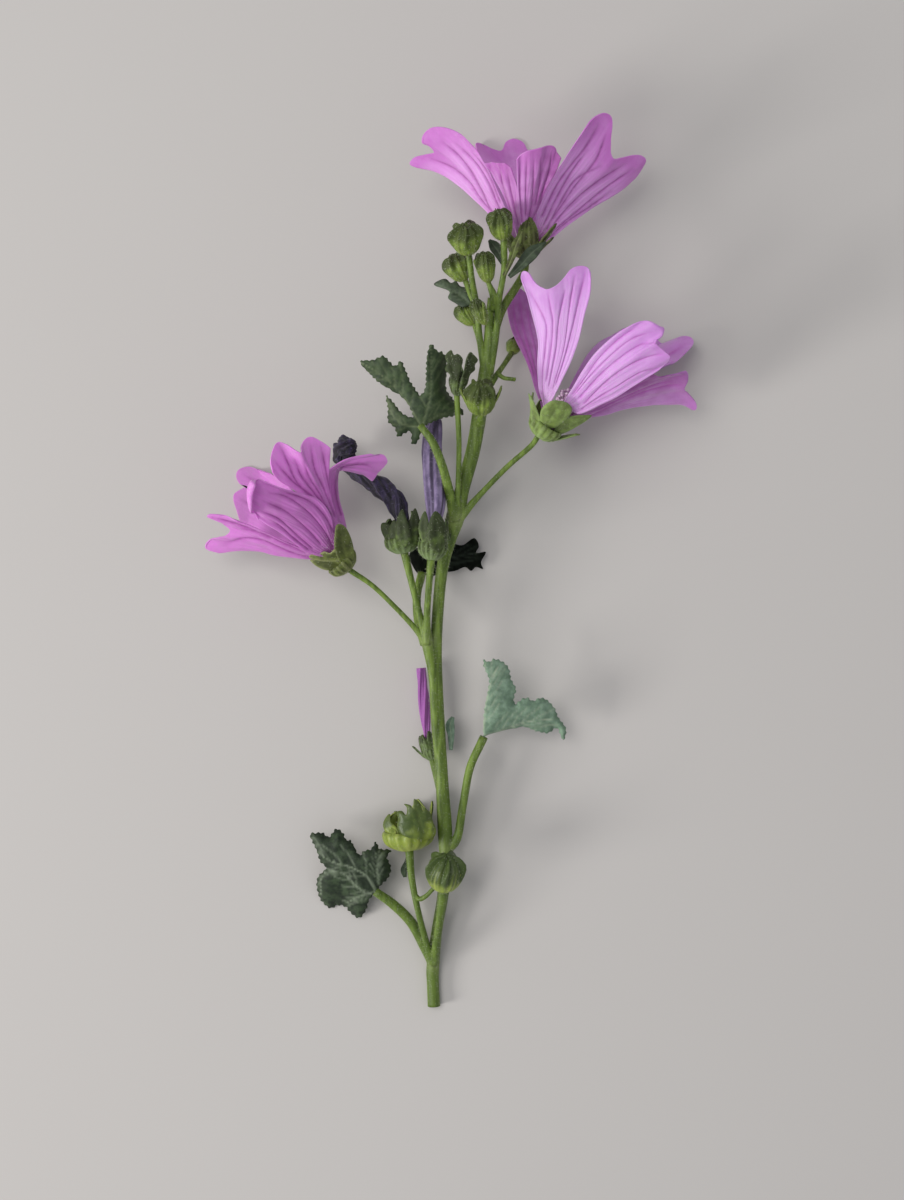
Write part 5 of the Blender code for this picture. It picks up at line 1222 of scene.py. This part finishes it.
faded = {
    "left": {
        "stalk": "fadedLeft", "tip": (398, 515, 11.6),
        "cup": {
            "radius": 3, "depth": 3, "dark": 1,
            "sepals": [(84, 6, 5, 2, -22), (160, 0, 4.4, 1.9, -30), (232, 4, 4.4, 1.9, -30)],
            "bracts": [(110, 20, 3.6, 0.9)],
        },
        "roll": [
            (403, 541, 11, 0.8), (402, 520, 11.2, 1.1), (395, 501, 11, 1.6), (380, 487, 10.2, 1.6),
            (365, 478, 8.4, 1.2), (351, 469, 6.2, 1), (341, 458, 4.6, 1.2), (347, 448, 5, 1.9), (352, 441, 4.8, 1.3),
        ],
        "twist": 8, "crumple": 0.7,
    },
    "middle": {
        "stalk": "fadedMiddle", "tip": (436, 515, 14.2),
        "cup": {
            "radius": 2.4, "depth": 3.2, "dark": 0.75,
            "sepals": [(84, 4, 5.2, 1.7, -20), (160, 2, 4.2, 1.6, -30), (236, 2, 4.4, 1.6, -30)],
            "bracts": [(110, 10, 3.8, 0.9)],
        },
        "roll": [
            (432, 548, 13.8, 0.7), (434, 528, 13.9, 0.85), (435, 502, 12.9, 1.6), (433, 476, 11, 1.75),
            (432, 450, 9.9, 1.7), (434, 428, 8.8, 1.3), (435, 418, 8.4, 0.8),
        ],
        "twist": 1.4, "crumple": 0.2,
    },
    "pink": {
        "stalk": "pinkBud", "tip": (425, 728, 2.6),
        "cup": {
            "radius": 1.45, "depth": 2.2,
            "sepals": [
                (-36, 4, 3.4, 1, -14), (30, 2, 3.8, 1, -14), (100, 6, 3.4, 1, -14), (170, 4, 3.2, 1, -14),
                (245, 6, 3.2, 1, -14),
            ],
            "bracts": [(-80, 30, 3, 0.6), (80, 20, 2.8, 0.7)],
        },
        "roll": [
            (430, 751, 2.7, 0.3), (427, 735, 2.6, 0.55), (425, 712, 2.4, 0.85), (423, 690, 2.2, 0.88),
            (421, 668, 2, 0.7),
        ],
        "twist": 3, "crumple": 0.05,
    },
}

rolls = {"steps": 90, "sides": 72, "pleats": 4, "pleatDepth": 0.17, "creases": 11, "creaseDepth": 0.07, "creaseTurn": 9}


def rolledBody(flower, number):
    pleats, creases, creaseTurn = rolls["pleats"], rolls["creases"], rolls["creaseTurn"]
    line = placedLine(flower["roll"], rolls["steps"])

    def pleated(turn, share):
        shallow = rolls["creaseDepth"] * np.cos(creases * turn + creaseTurn * share)
        return 1.0 + rolls["pleatDepth"] * np.cos(pleats * turn) + shallow

    rings = tubeRings(line, rolls["sides"], pleated, flower["twist"])
    out = unit(rings - line[:, None, :3])
    share = np.linspace(0, 1, len(line))[:, None]
    rough = flower["crumple"] * (0.35 + smooth(3 * share - 1.8))
    rings = rings + out * (rough * grain(rings, 1.3, number) + 0.25 * rough * grain(rings, 0.5, number))[..., None]
    turn = np.arange(rolls["sides"])[None, :] * 2 * math.pi / rolls["sides"]
    # groove is 1 in the pleat valleys and carries painted shade there; vein, taken from it, puts vein colour into some
    # of those valleys, partly veins and partly painted shade
    groove = 0.5 - 0.5 * np.cos(pleats * turn) + 0.3 * np.sin(creases * turn + creaseTurn * share)
    groove = np.clip(groove, 0, 1)
    vein = 0.7 * groove * (np.sin(creases * turn) > 0.3)
    return body(rings, {"groove": groove, "along": share + 0 * turn, "vein": vein})


def makeFaded(place, flower, rollLook, calyxLook, slotName, number):
    head = headFrame(stalkEnd(flower["stalk"]), spot(*flower["tip"]))
    calyx = makeCalyx(f"calyx_faded_{place}", head, flower["cup"], calyxLook, "calyx")
    addNode(f"rolled_petals_{place}", rolledBody(flower, number), rollLook, slotName)
    return calyx


# The open fruit: a ring of nutlets in the calyx that has grown round it.

fruit = {
    "stalk": "lowFruit", "tip": (407, 815, 5), "nutlets": 10,
    "ring": [(1.2, 1.45), (3, 1.9), (3.4, 2.8), (3, 3.7), (1.3, 3.9)],
    "cup": {
        "radius": 4.4, "depth": 3.6, "dark": 1,
        "sepals": [(-60, -8, 3, 2.2, -30), (144, 0, 6.2, 2.4, -16), (216, 0, 4.4, 2.4, -20)],
        "bracts": [(96, 4, 7, 1.5)],
    },
}


def makeFruit(cupLook, nutletLook):
    head = headFrame(stalkEnd(fruit["stalk"]), spot(*fruit["tip"]))
    calyx = makeCalyx("calyx_low_fruit", head, fruit["cup"], cupLook, "fruit")
    profile = through(fruit["ring"], 24)
    degrees = np.arange(120)[None, :] * 3.0
    groove = np.abs(np.sin(np.radians(degrees) * fruit["nutlets"] / 2)) ** 0.5
    rings = headPoint(head, degrees, profile[:, :1] * (0.86 + 0.14 * groove), profile[:, 1:] + 0 * degrees)
    # painted shade: darker in the recessed grooves between the nutlets
    marks = {"shade": 1 - groove + 0 * profile[:, :1], "vein": 0.0}
    addNode("nutlets_low_fruit", body(rings, marks), nutletLook, "nutlets")
    return calyx


# Leaves. Origin and rim points are (across, down, height); veins are picture points.

leaves = {
    "leaf_upper": {
        "origin": (422, 427, 14.2), "arch": 0.8, "teeth": 0.9, "cuts": 8, "dark": 0.8,
        "rim": [
            (418, 441, 13), (412, 444, 12.4), (411, 432, 13.2), (405, 433, 13), (398, 437, 12.6), (395, 428, 13.2),
            (388, 421, 13), (388, 408, 13.8), (386, 396, 13.8), (393, 402, 14.2), (402, 413, 14.4), (413, 417, 14.4),
            (404, 399, 14.8), (381, 384, 15.2), (372, 376, 15.4), (360, 362, 16), (373, 360, 16.4), (383, 356, 16.6),
            (389, 361, 16.4), (395, 366, 16.2), (401, 361, 16.6), (405, 369, 16.2), (410, 381, 15.6), (414, 387, 15.2),
            (420, 395, 14.8), (425, 389, 15.2), (426, 376, 15.8), (427, 356, 16.8), (431, 344, 17.4), (437, 351, 16.2),
            (442, 352, 14.8), (446, 358, 13.4), (447, 369, 12), (446, 388, 11.2), (453, 399, 10.8), (464, 413, 10.6),
            (454, 416, 11.2), (440, 419, 12.6),
        ],
        "veins": [
            [(422, 427), (402, 396), (385, 378), (360, 362)], [(422, 427), (430, 397), (431, 370), (431, 344)],
            [(422, 427), (404, 425), (396, 419), (389, 409), (386, 397)], [(422, 427), (440, 415), (462, 413)],
        ],
    },
    "leaf_right": {
        "origin": (483, 737, 7.1), "arch": 0.6, "teeth": 0.8, "cuts": 8, "patch": 1.6,
        "rim": [
            (484, 712, 8.6), (488, 690, 9.6), (489, 679, 10), (484, 667, 10), (484, 660, 9.8), (489, 662, 10.4),
            (494, 659, 10.4), (503, 662, 10), (509, 669, 9.6), (511, 679, 9.2), (516, 689, 8.8), (514, 697, 8.6),
            (515, 704, 8.2), (522, 699, 8.4), (528, 698, 8.4), (533, 701, 8.2), (540, 698, 8), (547, 700, 7.6),
            (555, 709, 7), (558, 717, 6.4), (566, 729, 5.4), (563, 740, 4.6), (557, 728, 5.2), (548, 733, 5),
            (536, 731, 5.4), (520, 727, 6.2),
        ],
        "veins": [[(483, 737), (484, 712), (490, 684), (498, 666)], [(483, 737), (501, 731), (526, 722), (553, 719)]],
    },
    "leaf_low": {
        "origin": (376, 892, 4.6), "arch": 1.6, "teeth": 0.9, "cuts": 8, "dark": 0.9, "wrinkle": 0.45,
        "rim": [
            (369, 900, 3.6), (366, 910, 2.2), (359, 918, 1), (350, 912, 0.8), (346, 907, 1.2), (338, 905, 0.8),
            (330, 908, 0.4), (321, 900, 0.6), (317, 888, 1.6), (318, 877, 3), (326, 868, 4.4), (320, 861, 4.6),
            (317, 851, 4.8), (310, 835, 4), (317, 833, 4.4), (323, 833, 4.6), (329, 837, 5), (336, 829, 4.8),
            (343, 833, 5.2), (346, 840, 5.6), (351, 841, 5.4), (359, 855, 5.8), (364, 851, 5.6), (371, 849, 5.4),
            (376, 842, 4.8), (380, 849, 5.2), (391, 850, 4.2), (387, 857, 4.8), (391, 868, 4.2), (388, 878, 4.2),
            (381, 885, 4.4),
        ],
        "veins": [
            [(377, 892), (366, 876), (350, 867), (330, 861), (319, 851), (312, 837)],
            [(379, 885), (377, 867), (382, 852)], [(365, 893), (354, 884), (340, 872), (322, 875), (321, 899)],
            [(376, 892), (360, 896), (346, 903)],
        ],
    },
    "leaf_under": {
        "origin": (423, 574, 3.2), "arch": 0.4,
        "rim": [
            (417, 573, 2.4), (410, 560, 1.6), (411, 551, 1.8), (424, 546, 3), (440, 541, 3.6), (455, 544, 3.4),
            (463, 545, 2.8), (474, 538, 2), (479, 546, 1.8), (476, 553, 2.2), (486, 552, 1.4), (481, 562, 1.6),
            (483, 569, 1), (476, 567, 1.6), (471, 571, 1.2), (465, 567, 1.8), (455, 571, 2), (440, 573, 2.4),
            (431, 577, 2.6),
        ],
        "veins": [[(423, 574), (445, 560), (480, 552)]],
    },
    "leaf_top_left": {
        "origin": (471, 304, 12.3), "arch": 0.2,
        "rim": [
            (463, 307, 12.2), (455, 303, 11.6), (448, 298, 11), (449, 291, 10.8), (434, 285, 10), (440, 280, 10.2),
            (446, 279, 10.2), (451, 283, 10.4), (456, 281, 10.2), (460, 286, 10.5), (466, 288, 11), (469, 294, 11.8),
        ],
        "veins": [[(471, 304), (455, 292), (436, 284)]],
    },
}

leafLook = {
    "spacing": 2.0, "cuts": 4, "thick": 0.3, "wrinkle": 0.2, "groove": 0.2, "puff": 0.12, "lowest": 0.2,
    "teeth": 0.0, "toothStep": 5.5, "patch": 3.0, "dark": 0.6, "tips": 0.0, "margin": 0.0, "ribs": 1.0,
    "sideVeins": (0.2, 0.34, 0.48, 0.62, 0.76), "sideVeinSteps": 30,  # where along a main vein
}


def sideVeins(line):  # shorter veins that leave a main one on both sides
    steps = leafLook["sideVeinSteps"]
    points = through(np.array(line, float), steps)
    length = np.linalg.norm(points[-1] - points[0])
    found = []
    for k, share in enumerate(leafLook["sideVeins"]):
        i = int(share * steps)
        x, y = ahead = unit(points[min(i + 2, steps)] - points[max(i - 2, 0)])
        for sign in (-1, 1):
            turn = math.radians(sign * (48 - 6 * k))
            aside = np.array([x * math.cos(turn) - y * math.sin(turn), x * math.sin(turn) + y * math.cos(turn)])
            bent = aside + 0.3 * ahead
            found.append(np.array([points[i], points[i] + aside * length * 0.15, points[i] + bent * length * 0.28]))
    return found


def flatShape(outline, spacing):  # triangles inside an outline, and the edges round it
    count = len(outline)
    low, high = outline.min(0), outline.max(0)
    rows = np.arange(low[1] + spacing, high[1], spacing * 0.87)
    inside = []
    for k, y in enumerate(rows):
        for x in np.arange(low[0] + spacing * (0.5 + 0.5 * (k % 2)), high[0], spacing):
            inside.append((x, y))
    inside = np.array(inside)
    ring = np.vstack([outline, outline[:1]])
    a, b = ring[:-1], ring[1:]
    crosses = (a[None, :, 1] > inside[:, None, 1]) != (b[None, :, 1] > inside[:, None, 1])
    rise = np.where(np.abs(b[:, 1] - a[:, 1]) < 1e-9, 1e-9, b[:, 1] - a[:, 1])
    at = a[None, :, 0] + (inside[:, None, 1] - a[None, :, 1]) * (b - a)[None, :, 0] / rise[None]
    within = (crosses & (inside[:, None, 0] < at)).sum(1) % 2 == 1
    keep = within & (farFrom(inside, ring) > 0.55 * spacing)
    points = np.vstack([outline, inside[keep]])
    edges = [(k, (k + 1) % count) for k in range(count)]
    places, _, faces, _, _, _ = delaunay_2d_cdt([Vector(p) for p in points], edges, [], 1, 1e-6)
    used = {}
    faces = [[used.setdefault(v, len(used)) for v in face] for face in faces]
    order = sorted(used, key=used.get)
    seen = {(v, w): True for face in faces for v, w in zip(face, face[1:] + face[:1])}
    border = [(v, w) for v, w in seen if (w, v) not in seen]
    return np.array([places[v][:] for v in order]), faces, border


def toothed(outline, depth):
    step = np.roll(outline[:, :2], -1, 0) - np.roll(outline[:, :2], 1, 0)
    run = np.cumsum(np.linalg.norm(step, axis=1)) / 2
    out = unit(np.stack([-step[:, 1], step[:, 0]], 1))
    outline[:, :2] += out * (depth * (np.abs((run / leafLook["toothStep"]) % 1 - 0.5) * 4 - 1))[:, None]


def leafSheet(leaf, number):
    leaf = {**leafLook, **leaf}
    closed = [leaf["origin"]] + list(leaf["rim"])
    closed = np.array(closed + closed[:1], float)
    outline = through(closed, leaf["cuts"] * (len(closed) - 1))[:-1]
    if leaf["teeth"]:
        toothed(outline, leaf["teeth"])
    flat, faces, border = flatShape(outline[:, :2], leaf["spacing"])
    near = np.linalg.norm(flat[:, None] - outline[None, :, :2], axis=-1)
    weight = 1.0 / np.maximum(near, 0.4) ** 2
    heights = (weight * outline[:, 2]).sum(1) / weight.sum(1)
    edge = near.min(1)
    heights = heights + leaf["arch"] * (1 - np.exp(-edge / 9.0))
    places = np.array([spot(a, d, h) for (a, d), h in zip(flat, heights)])
    vein, small = np.zeros(len(flat)), np.zeros(len(flat))
    for line in leaf["veins"]:
        taper = 1.15 - 0.6 * smooth(np.linalg.norm(flat - np.array(line[0]), axis=1) / 60.0)
        vein = np.maximum(vein, bump(farFrom(flat, through(np.array(line, float), 24)), taper))
        for aside in sideVeins(line):
            small = np.maximum(small, bump(farFrom(flat, aside), 0.8))
    puff = np.minimum(1.0, farFrom(flat, np.array(leaf["veins"][0], float)) / 8.0)
    wrinkle = leaf["wrinkle"] * grain(places, 2.4, number) + 0.1 * grain(places, 0.9, number)
    lift = wrinkle - leaf["groove"] * (vein + 0.5 * small) + leaf["puff"] * puff
    places[:, 2] = np.maximum(places[:, 2] + lift * smooth(edge / 5.0), leaf["lowest"])
    half = 0.5 * leaf["thick"] * (0.5 + 0.5 * smooth(edge / rimSteps))
    up = np.array([0.0, 0.0, 1.0])
    points = np.concatenate([places + half[:, None] * up, places - half[:, None] * up])
    count = len(flat)
    shell = [face[::-1] for face in faces]  # the picture's down is -Y
    shell += [[v + count for v in face] for face in faces]
    shell += [[v, w, w + count, v + count] for v, w in border]
    away = np.linalg.norm(flat - np.array(leaf["origin"][:2]), axis=1)
    tips = leaf["tips"] * smooth((away / away.max() - 0.25) / 0.4)
    patches = 0.6 * grain(places, leaf["patch"], number + 5)
    shade = np.clip((1 - leaf["tips"]) * 0.5 + tips + patches, 0, 1) * leaf["dark"]
    margin = leaf["margin"] * np.exp(-edge / 1.1)
    ribs = leaf["ribs"] * np.maximum(vein, 0.55 * small)
    marks = {"vein": np.maximum(ribs, margin), "shade": np.clip(shade - margin, 0, 1)}
    return points, shell, {name: np.tile(values, 2) for name, values in marks.items()}


# Leaflets: small blades along points (across, down, height, half width).

leaflets = {
    "leaflet_pale": [(504, 276, 17.4, 0.3), (511, 260, 18.8, 0.5), (516, 245, 19.8, 0.72), (522, 231, 20.6, 0.2)],
    "leaflet_dark": [(509, 277, 16.2, 0.35), (520, 266, 17, 0.8), (532, 253, 17.6, 1.1), (546, 242, 17.4, 0.15)],
    "leaflet_shaded": [(503, 264, 15.9, 0.35), (499, 253, 15.4, 0.9), (494, 246, 15, 0.9), (489, 240, 15.2, 0.2)],
    "leaflet_hanging": [(409, 854, 3.6, 0.4), (407, 862, 3.2, 0.45), (404, 870, 2.8, 0.6), (405, 877, 2.6, 0.3)],
    "leaflet_stem": [(451, 750, 5, 0.3), (451, 735, 4.4, 0.6), (450, 725, 3.8, 0.8), (453, 717, 3.4, 0.3)],
}

leafletLook = {"rows": 26, "columns": 13, "thick": 0.3, "fold": 0.25, "wrinkle": 0.06, "rib": 0.14}


def leafletSheet(spine, number):
    line = placedLine(spine, leafletLook["rows"])
    along = np.gradient(line[:, :3], axis=0)
    side = unit(np.cross(along, [0.0, 0.0, 1.0]))
    s = np.linspace(-1, 1, leafletLook["columns"])[None, :]
    half = line[:, 3:]
    grid = line[:, None, :3] + (half * s)[..., None] * side[:, None, :]
    grid[..., 2] += leafletLook["fold"] * half * np.abs(s) + leafletLook["wrinkle"] * grain(grid, 0.8, number)
    u = np.linspace(0, 1, leafletLook["rows"] + 1)[:, None]
    marks = {"vein": bump(s, leafletLook["rib"]) * (1 - 0.5 * u), "shade": 0.4 * u + 0 * s}
    return sheet(grid, leafletLook["thick"], marks)


# Fine hairs, as thin spikes that stand on a piece's surface.

hairs = {"thick": 0.022, "sides": 3, "sunk": 0.03, "lengths": (0.5, 1.2), "lean": 0.5, "bend": 0.5, "lowest": 0.01}
hairGroups = {  # hairs on each piece, length in mm, slot, seed
    "hairsStem": (9000, 0.45, "stem", 11),
    "hairsGreen": (420, 0.5, "calyx", 31),
}


def spikes(piece, count, length, seed):
    mesh = piece.data
    mesh.calc_loop_triangles()
    corners = [[mesh.vertices[v].co[:] for v in triangle.vertices] for triangle in mesh.loop_triangles]
    corners = np.array(corners) / mm
    normals = np.cross(corners[:, 1] - corners[:, 0], corners[:, 2] - corners[:, 0])
    area = np.linalg.norm(normals, axis=1)
    normals = unit(normals)
    draw = np.random.default_rng(seed)
    picked = draw.choice(len(corners), count, p=area / area.sum())
    a, b = draw.random(count), draw.random(count)
    over = a + b > 1
    a[over], b[over] = 1 - a[over], 1 - b[over]
    first, second, third = corners[picked].transpose(1, 0, 2)
    root = first + (second - first) * a[:, None] + (third - first) * b[:, None]
    out = unit(normals[picked] + hairs["lean"] * draw.standard_normal((count, 3)))
    reach = length * draw.uniform(*hairs["lengths"], count)[:, None]
    side = unit(np.cross(out, draw.standard_normal((count, 3))))
    other = np.cross(out, side)
    bend = unit(out + hairs["bend"] * side)
    points, faces = [], []
    for k in range(count):
        start = len(points)
        for turn in range(hairs["sides"]):
            angle = turn * 2 * math.pi / hairs["sides"]
            spoke = math.cos(angle) * side[k] + math.sin(angle) * other[k]
            points.append(root[k] - out[k] * hairs["sunk"] + spoke * hairs["thick"])
        points.append(root[k] + (out[k] + bend[k]) * 0.5 * reach[k])
        faces += [[start + v for v in face] for face in ((0, 1, 3), (1, 2, 3), (2, 0, 3), (0, 2, 1))]
    points = np.array(points)
    points[:, 2] = np.maximum(points[:, 2], hairs["lowest"])
    return points, faces, {}


def makeHairs(name, pieces, material):
    count, length, slotName, seed = hairGroups[name]
    parts = [spikes(piece, count, length, seed + k) for k, piece in enumerate(pieces)]
    return addPiece(name, joined(parts), material, slotName)


# Surface, light and camera.

studio = {
    "floorSize": 3.0, "floor": (0.60, 0.575, 0.553), "floorPatches": (0.56, 0.52, 0.50), "patches": 0.06,
    "world": (0.93, 0.95, 1.0), "worldStrength": 0.42,
    "lamps": [  # name, place in metres, size, power
        ("low window", (-0.72, -0.26, 0.34), 0.24, 3.9),
        ("high window", (-0.30, 0.16, 0.72), 0.42, 2.0),
    ],
    "lampColour": (1.0, 0.985, 0.96),
    "sensor": 36.0,
}


def makeFloor():
    bpy.ops.mesh.primitive_plane_add(size=studio["floorSize"], location=(0.0, 0.0, 0.0))
    floor = bpy.context.object
    floor.name = "surface"
    n = Nodes("pale surface", 0.9, shine=0.0)
    patches = n.fit(n.cloud(60.0, 2.0), 0.3, 0.7, 0.0, studio["patches"])
    floor.data.materials.append(n.finish(n.mix(patches, studio["floor"], studio["floorPatches"])))


def makeLight():
    bpy.context.scene.view_settings.view_transform = "Standard"
    world = bpy.data.worlds.new("soft room")
    world.use_nodes = True
    world.node_tree.nodes["Background"].inputs["Color"].default_value = (*studio["world"], 1.0)
    world.node_tree.nodes["Background"].inputs["Strength"].default_value = studio["worldStrength"]
    bpy.context.scene.world = world
    for name, place, size, power in studio["lamps"]:
        light = bpy.data.lights.new(name, "AREA")
        light.size, light.energy, light.color = size, power, studio["lampColour"]
        lamp = bpy.data.objects.new(name, light)
        lamp.location = place
        lamp.rotation_euler = (-Vector(place)).to_track_quat("-Z", "Y").to_euler()
        bpy.context.scene.collection.objects.link(lamp)


def makeCamera():
    camera = bpy.data.cameras.new("camera")
    camera.lens = picture["focal"] / picture["size"][1] * studio["sensor"]
    camera.sensor_width = studio["sensor"]
    camera.clip_start = 0.01
    eye = bpy.data.objects.new("camera", camera)
    eye.location = (-picture["boxMiddle"][0] * mm, -picture["boxMiddle"][1] * mm, picture["lensHeight"] * mm)
    bpy.context.scene.collection.objects.link(eye)
    bpy.context.scene.camera = eye


# Everything together. A green's colours are its light parts, its dark parts and its veins.

stemLook = greenMaterial(
    "green stem", (0.190, 0.280, 0.046), (0.088, 0.140, 0.021), (0.34, 0.41, 0.15), 0.5, (1.0, 9.0, 1.0), 0.7
)
calyxLooks = {
    "top": greenMaterial("calyx top", (0.15, 0.205, 0.040), (0.048, 0.052, 0.015), (0.32, 0.36, 0.14)),
    "right": greenMaterial("calyx right", (0.24, 0.34, 0.080), (0.12, 0.16, 0.040), (0.36, 0.50, 0.20)),
    "left": greenMaterial("calyx left", (0.130, 0.165, 0.030), (0.044, 0.056, 0.011), (0.40, 0.43, 0.17)),
    "faded": greenMaterial("calyx faded", (0.105, 0.160, 0.032), (0.018, 0.025, 0.006), (0.30, 0.40, 0.19), even=0.2),
}
fruitLook = greenMaterial(
    "fruit calyx", (0.26, 0.335, 0.048), (0.030, 0.058, 0.016), (0.48, 0.54, 0.13), 0.38, even=0.7
)
budLook = greenMaterial("bud", (0.21, 0.305, 0.045), (0.040, 0.056, 0.012), (0.36, 0.42, 0.11), even=0.4)
budLooks = {"fruit_on_stem": fruitLook, "bud_leafy": calyxLooks["faded"]}
nutletLook = greenMaterial("nutlets", (0.32, 0.36, 0.12), (0.16, 0.16, 0.06), (0.4, 0.4, 0.2), 0.55)
leafLooks = {
    "leaf_upper": greenMaterial("leaf upper", (0.072, 0.110, 0.045), (0.030, 0.050, 0.022), (0.16, 0.20, 0.10), 0.55),
    "leaf_right": greenMaterial(
        "leaf underside", (0.240, 0.350, 0.250), (0.125, 0.200, 0.135), (0.40, 0.47, 0.34), 0.65
    ),
    "leaf_low": greenMaterial("leaf low", (0.055, 0.085, 0.042), (0.016, 0.026, 0.014), (0.24, 0.29, 0.20), shine=0.25),
    # leaf_under is drawn near black: partly its own dark tone, partly painted shade, as it lies under the stem in
    # shadow
    "leaf_under": greenMaterial(
        "dark leaf in painted shade", (0.007, 0.010, 0.006), (0.002, 0.003, 0.002), (0.03, 0.04, 0.03), 0.7, shine=0.05
    ),
    "leaf_top_left": greenMaterial("leaf small", (0.075, 0.110, 0.060), (0.030, 0.045, 0.025), (0.15, 0.19, 0.12)),
}
leafletLooks = {"leaflet_pale": calyxLooks["top"], "leaflet_stem": leafLooks["leaf_right"]}
petalLooks = {  # foot, middle, rim and veins, how strong the veins are, the painted shade and pollen specks
    "top": petalMaterial(
        "petal top", (0.84, 0.44, 0.88), (0.90, 0.46, 0.94), (0.64, 0.21, 0.64), (0.34, 0.07, 0.32), 0.85,
        (0.30, 0.07, 0.28)
    ),
    "right": petalMaterial(
        "petal right", (0.82, 0.53, 0.90), (0.80, 0.47, 0.90), (0.64, 0.30, 0.72), (0.46, 0.10, 0.44), 0.75,
        (0.33, 0.08, 0.30), (0.40, 0.12, 0.40)
    ),
    "left": petalMaterial(
        "petal left", (0.50, 0.27, 0.48), (0.76, 0.29, 0.75), (0.78, 0.28, 0.76), (0.30, 0.05, 0.28), 0.9,
        (0.34, 0.09, 0.32)
    ),
}
rollLooks = {
    "left": fadedMaterial("faded indigo", (0.030, 0.017, 0.068), (0.004, 0.002, 0.010), (0.15, 0.11, 0.27)),
    "middle": fadedMaterial("faded violet", (0.30, 0.23, 0.40), (0.15, 0.11, 0.22), (0.40, 0.34, 0.50)),
    "pink": petalMaterial(
        "petal bud", (0.42, 0.14, 0.44), (0.33, 0.10, 0.36), (0.32, 0.10, 0.36), (0.22, 0.04, 0.26), 0.7,
        (0.3, 0.1, 0.3)
    ),
}
hairLook = hairMaterial()
stamenLook = stamenMaterial()

makeFloor()
makeLight()
makeCamera()
print("camera, light and surface done")
shaft = makeStem(stemLook)
print("stem and stalks done")
hairy = []
for number, (place, bloom) in enumerate(blooms.items(), 1):
    hairy.append(makeBloom(place, bloom, petalLooks[place], calyxLooks[place], stamenLook, number))
    print(f"{place} bloom done")
for number, (place, flower) in enumerate(faded.items(), 1):
    slotName = "petal" if place == "pink" else "faded_petal"
    hairy.append(makeFaded(place, flower, rollLooks[place], calyxLooks["faded"], slotName, number))
hairy.append(makeFruit(fruitLook, nutletLook))
for number, (node, bud) in enumerate(buds.items()):
    hairy.append(makeBud(node, bud, budLooks.get(node, budLook), number))
print("faded flowers, fruit and buds done")
for number, (node, leaf) in enumerate(leaves.items()):
    addNode(node, leafSheet(leaf, number), leafLooks[node], "leaf")
for number, (node, spine) in enumerate(leaflets.items()):
    look = leafletLooks.get(node, leafLooks["leaf_top_left"])
    addNode(node, leafletSheet(spine, number), look, "leaf")
print("leaves done")
makeHairs("hairsStem", [shaft], hairLook)
makeHairs("hairsGreen", hairy, hairLook)
print("hairs done")
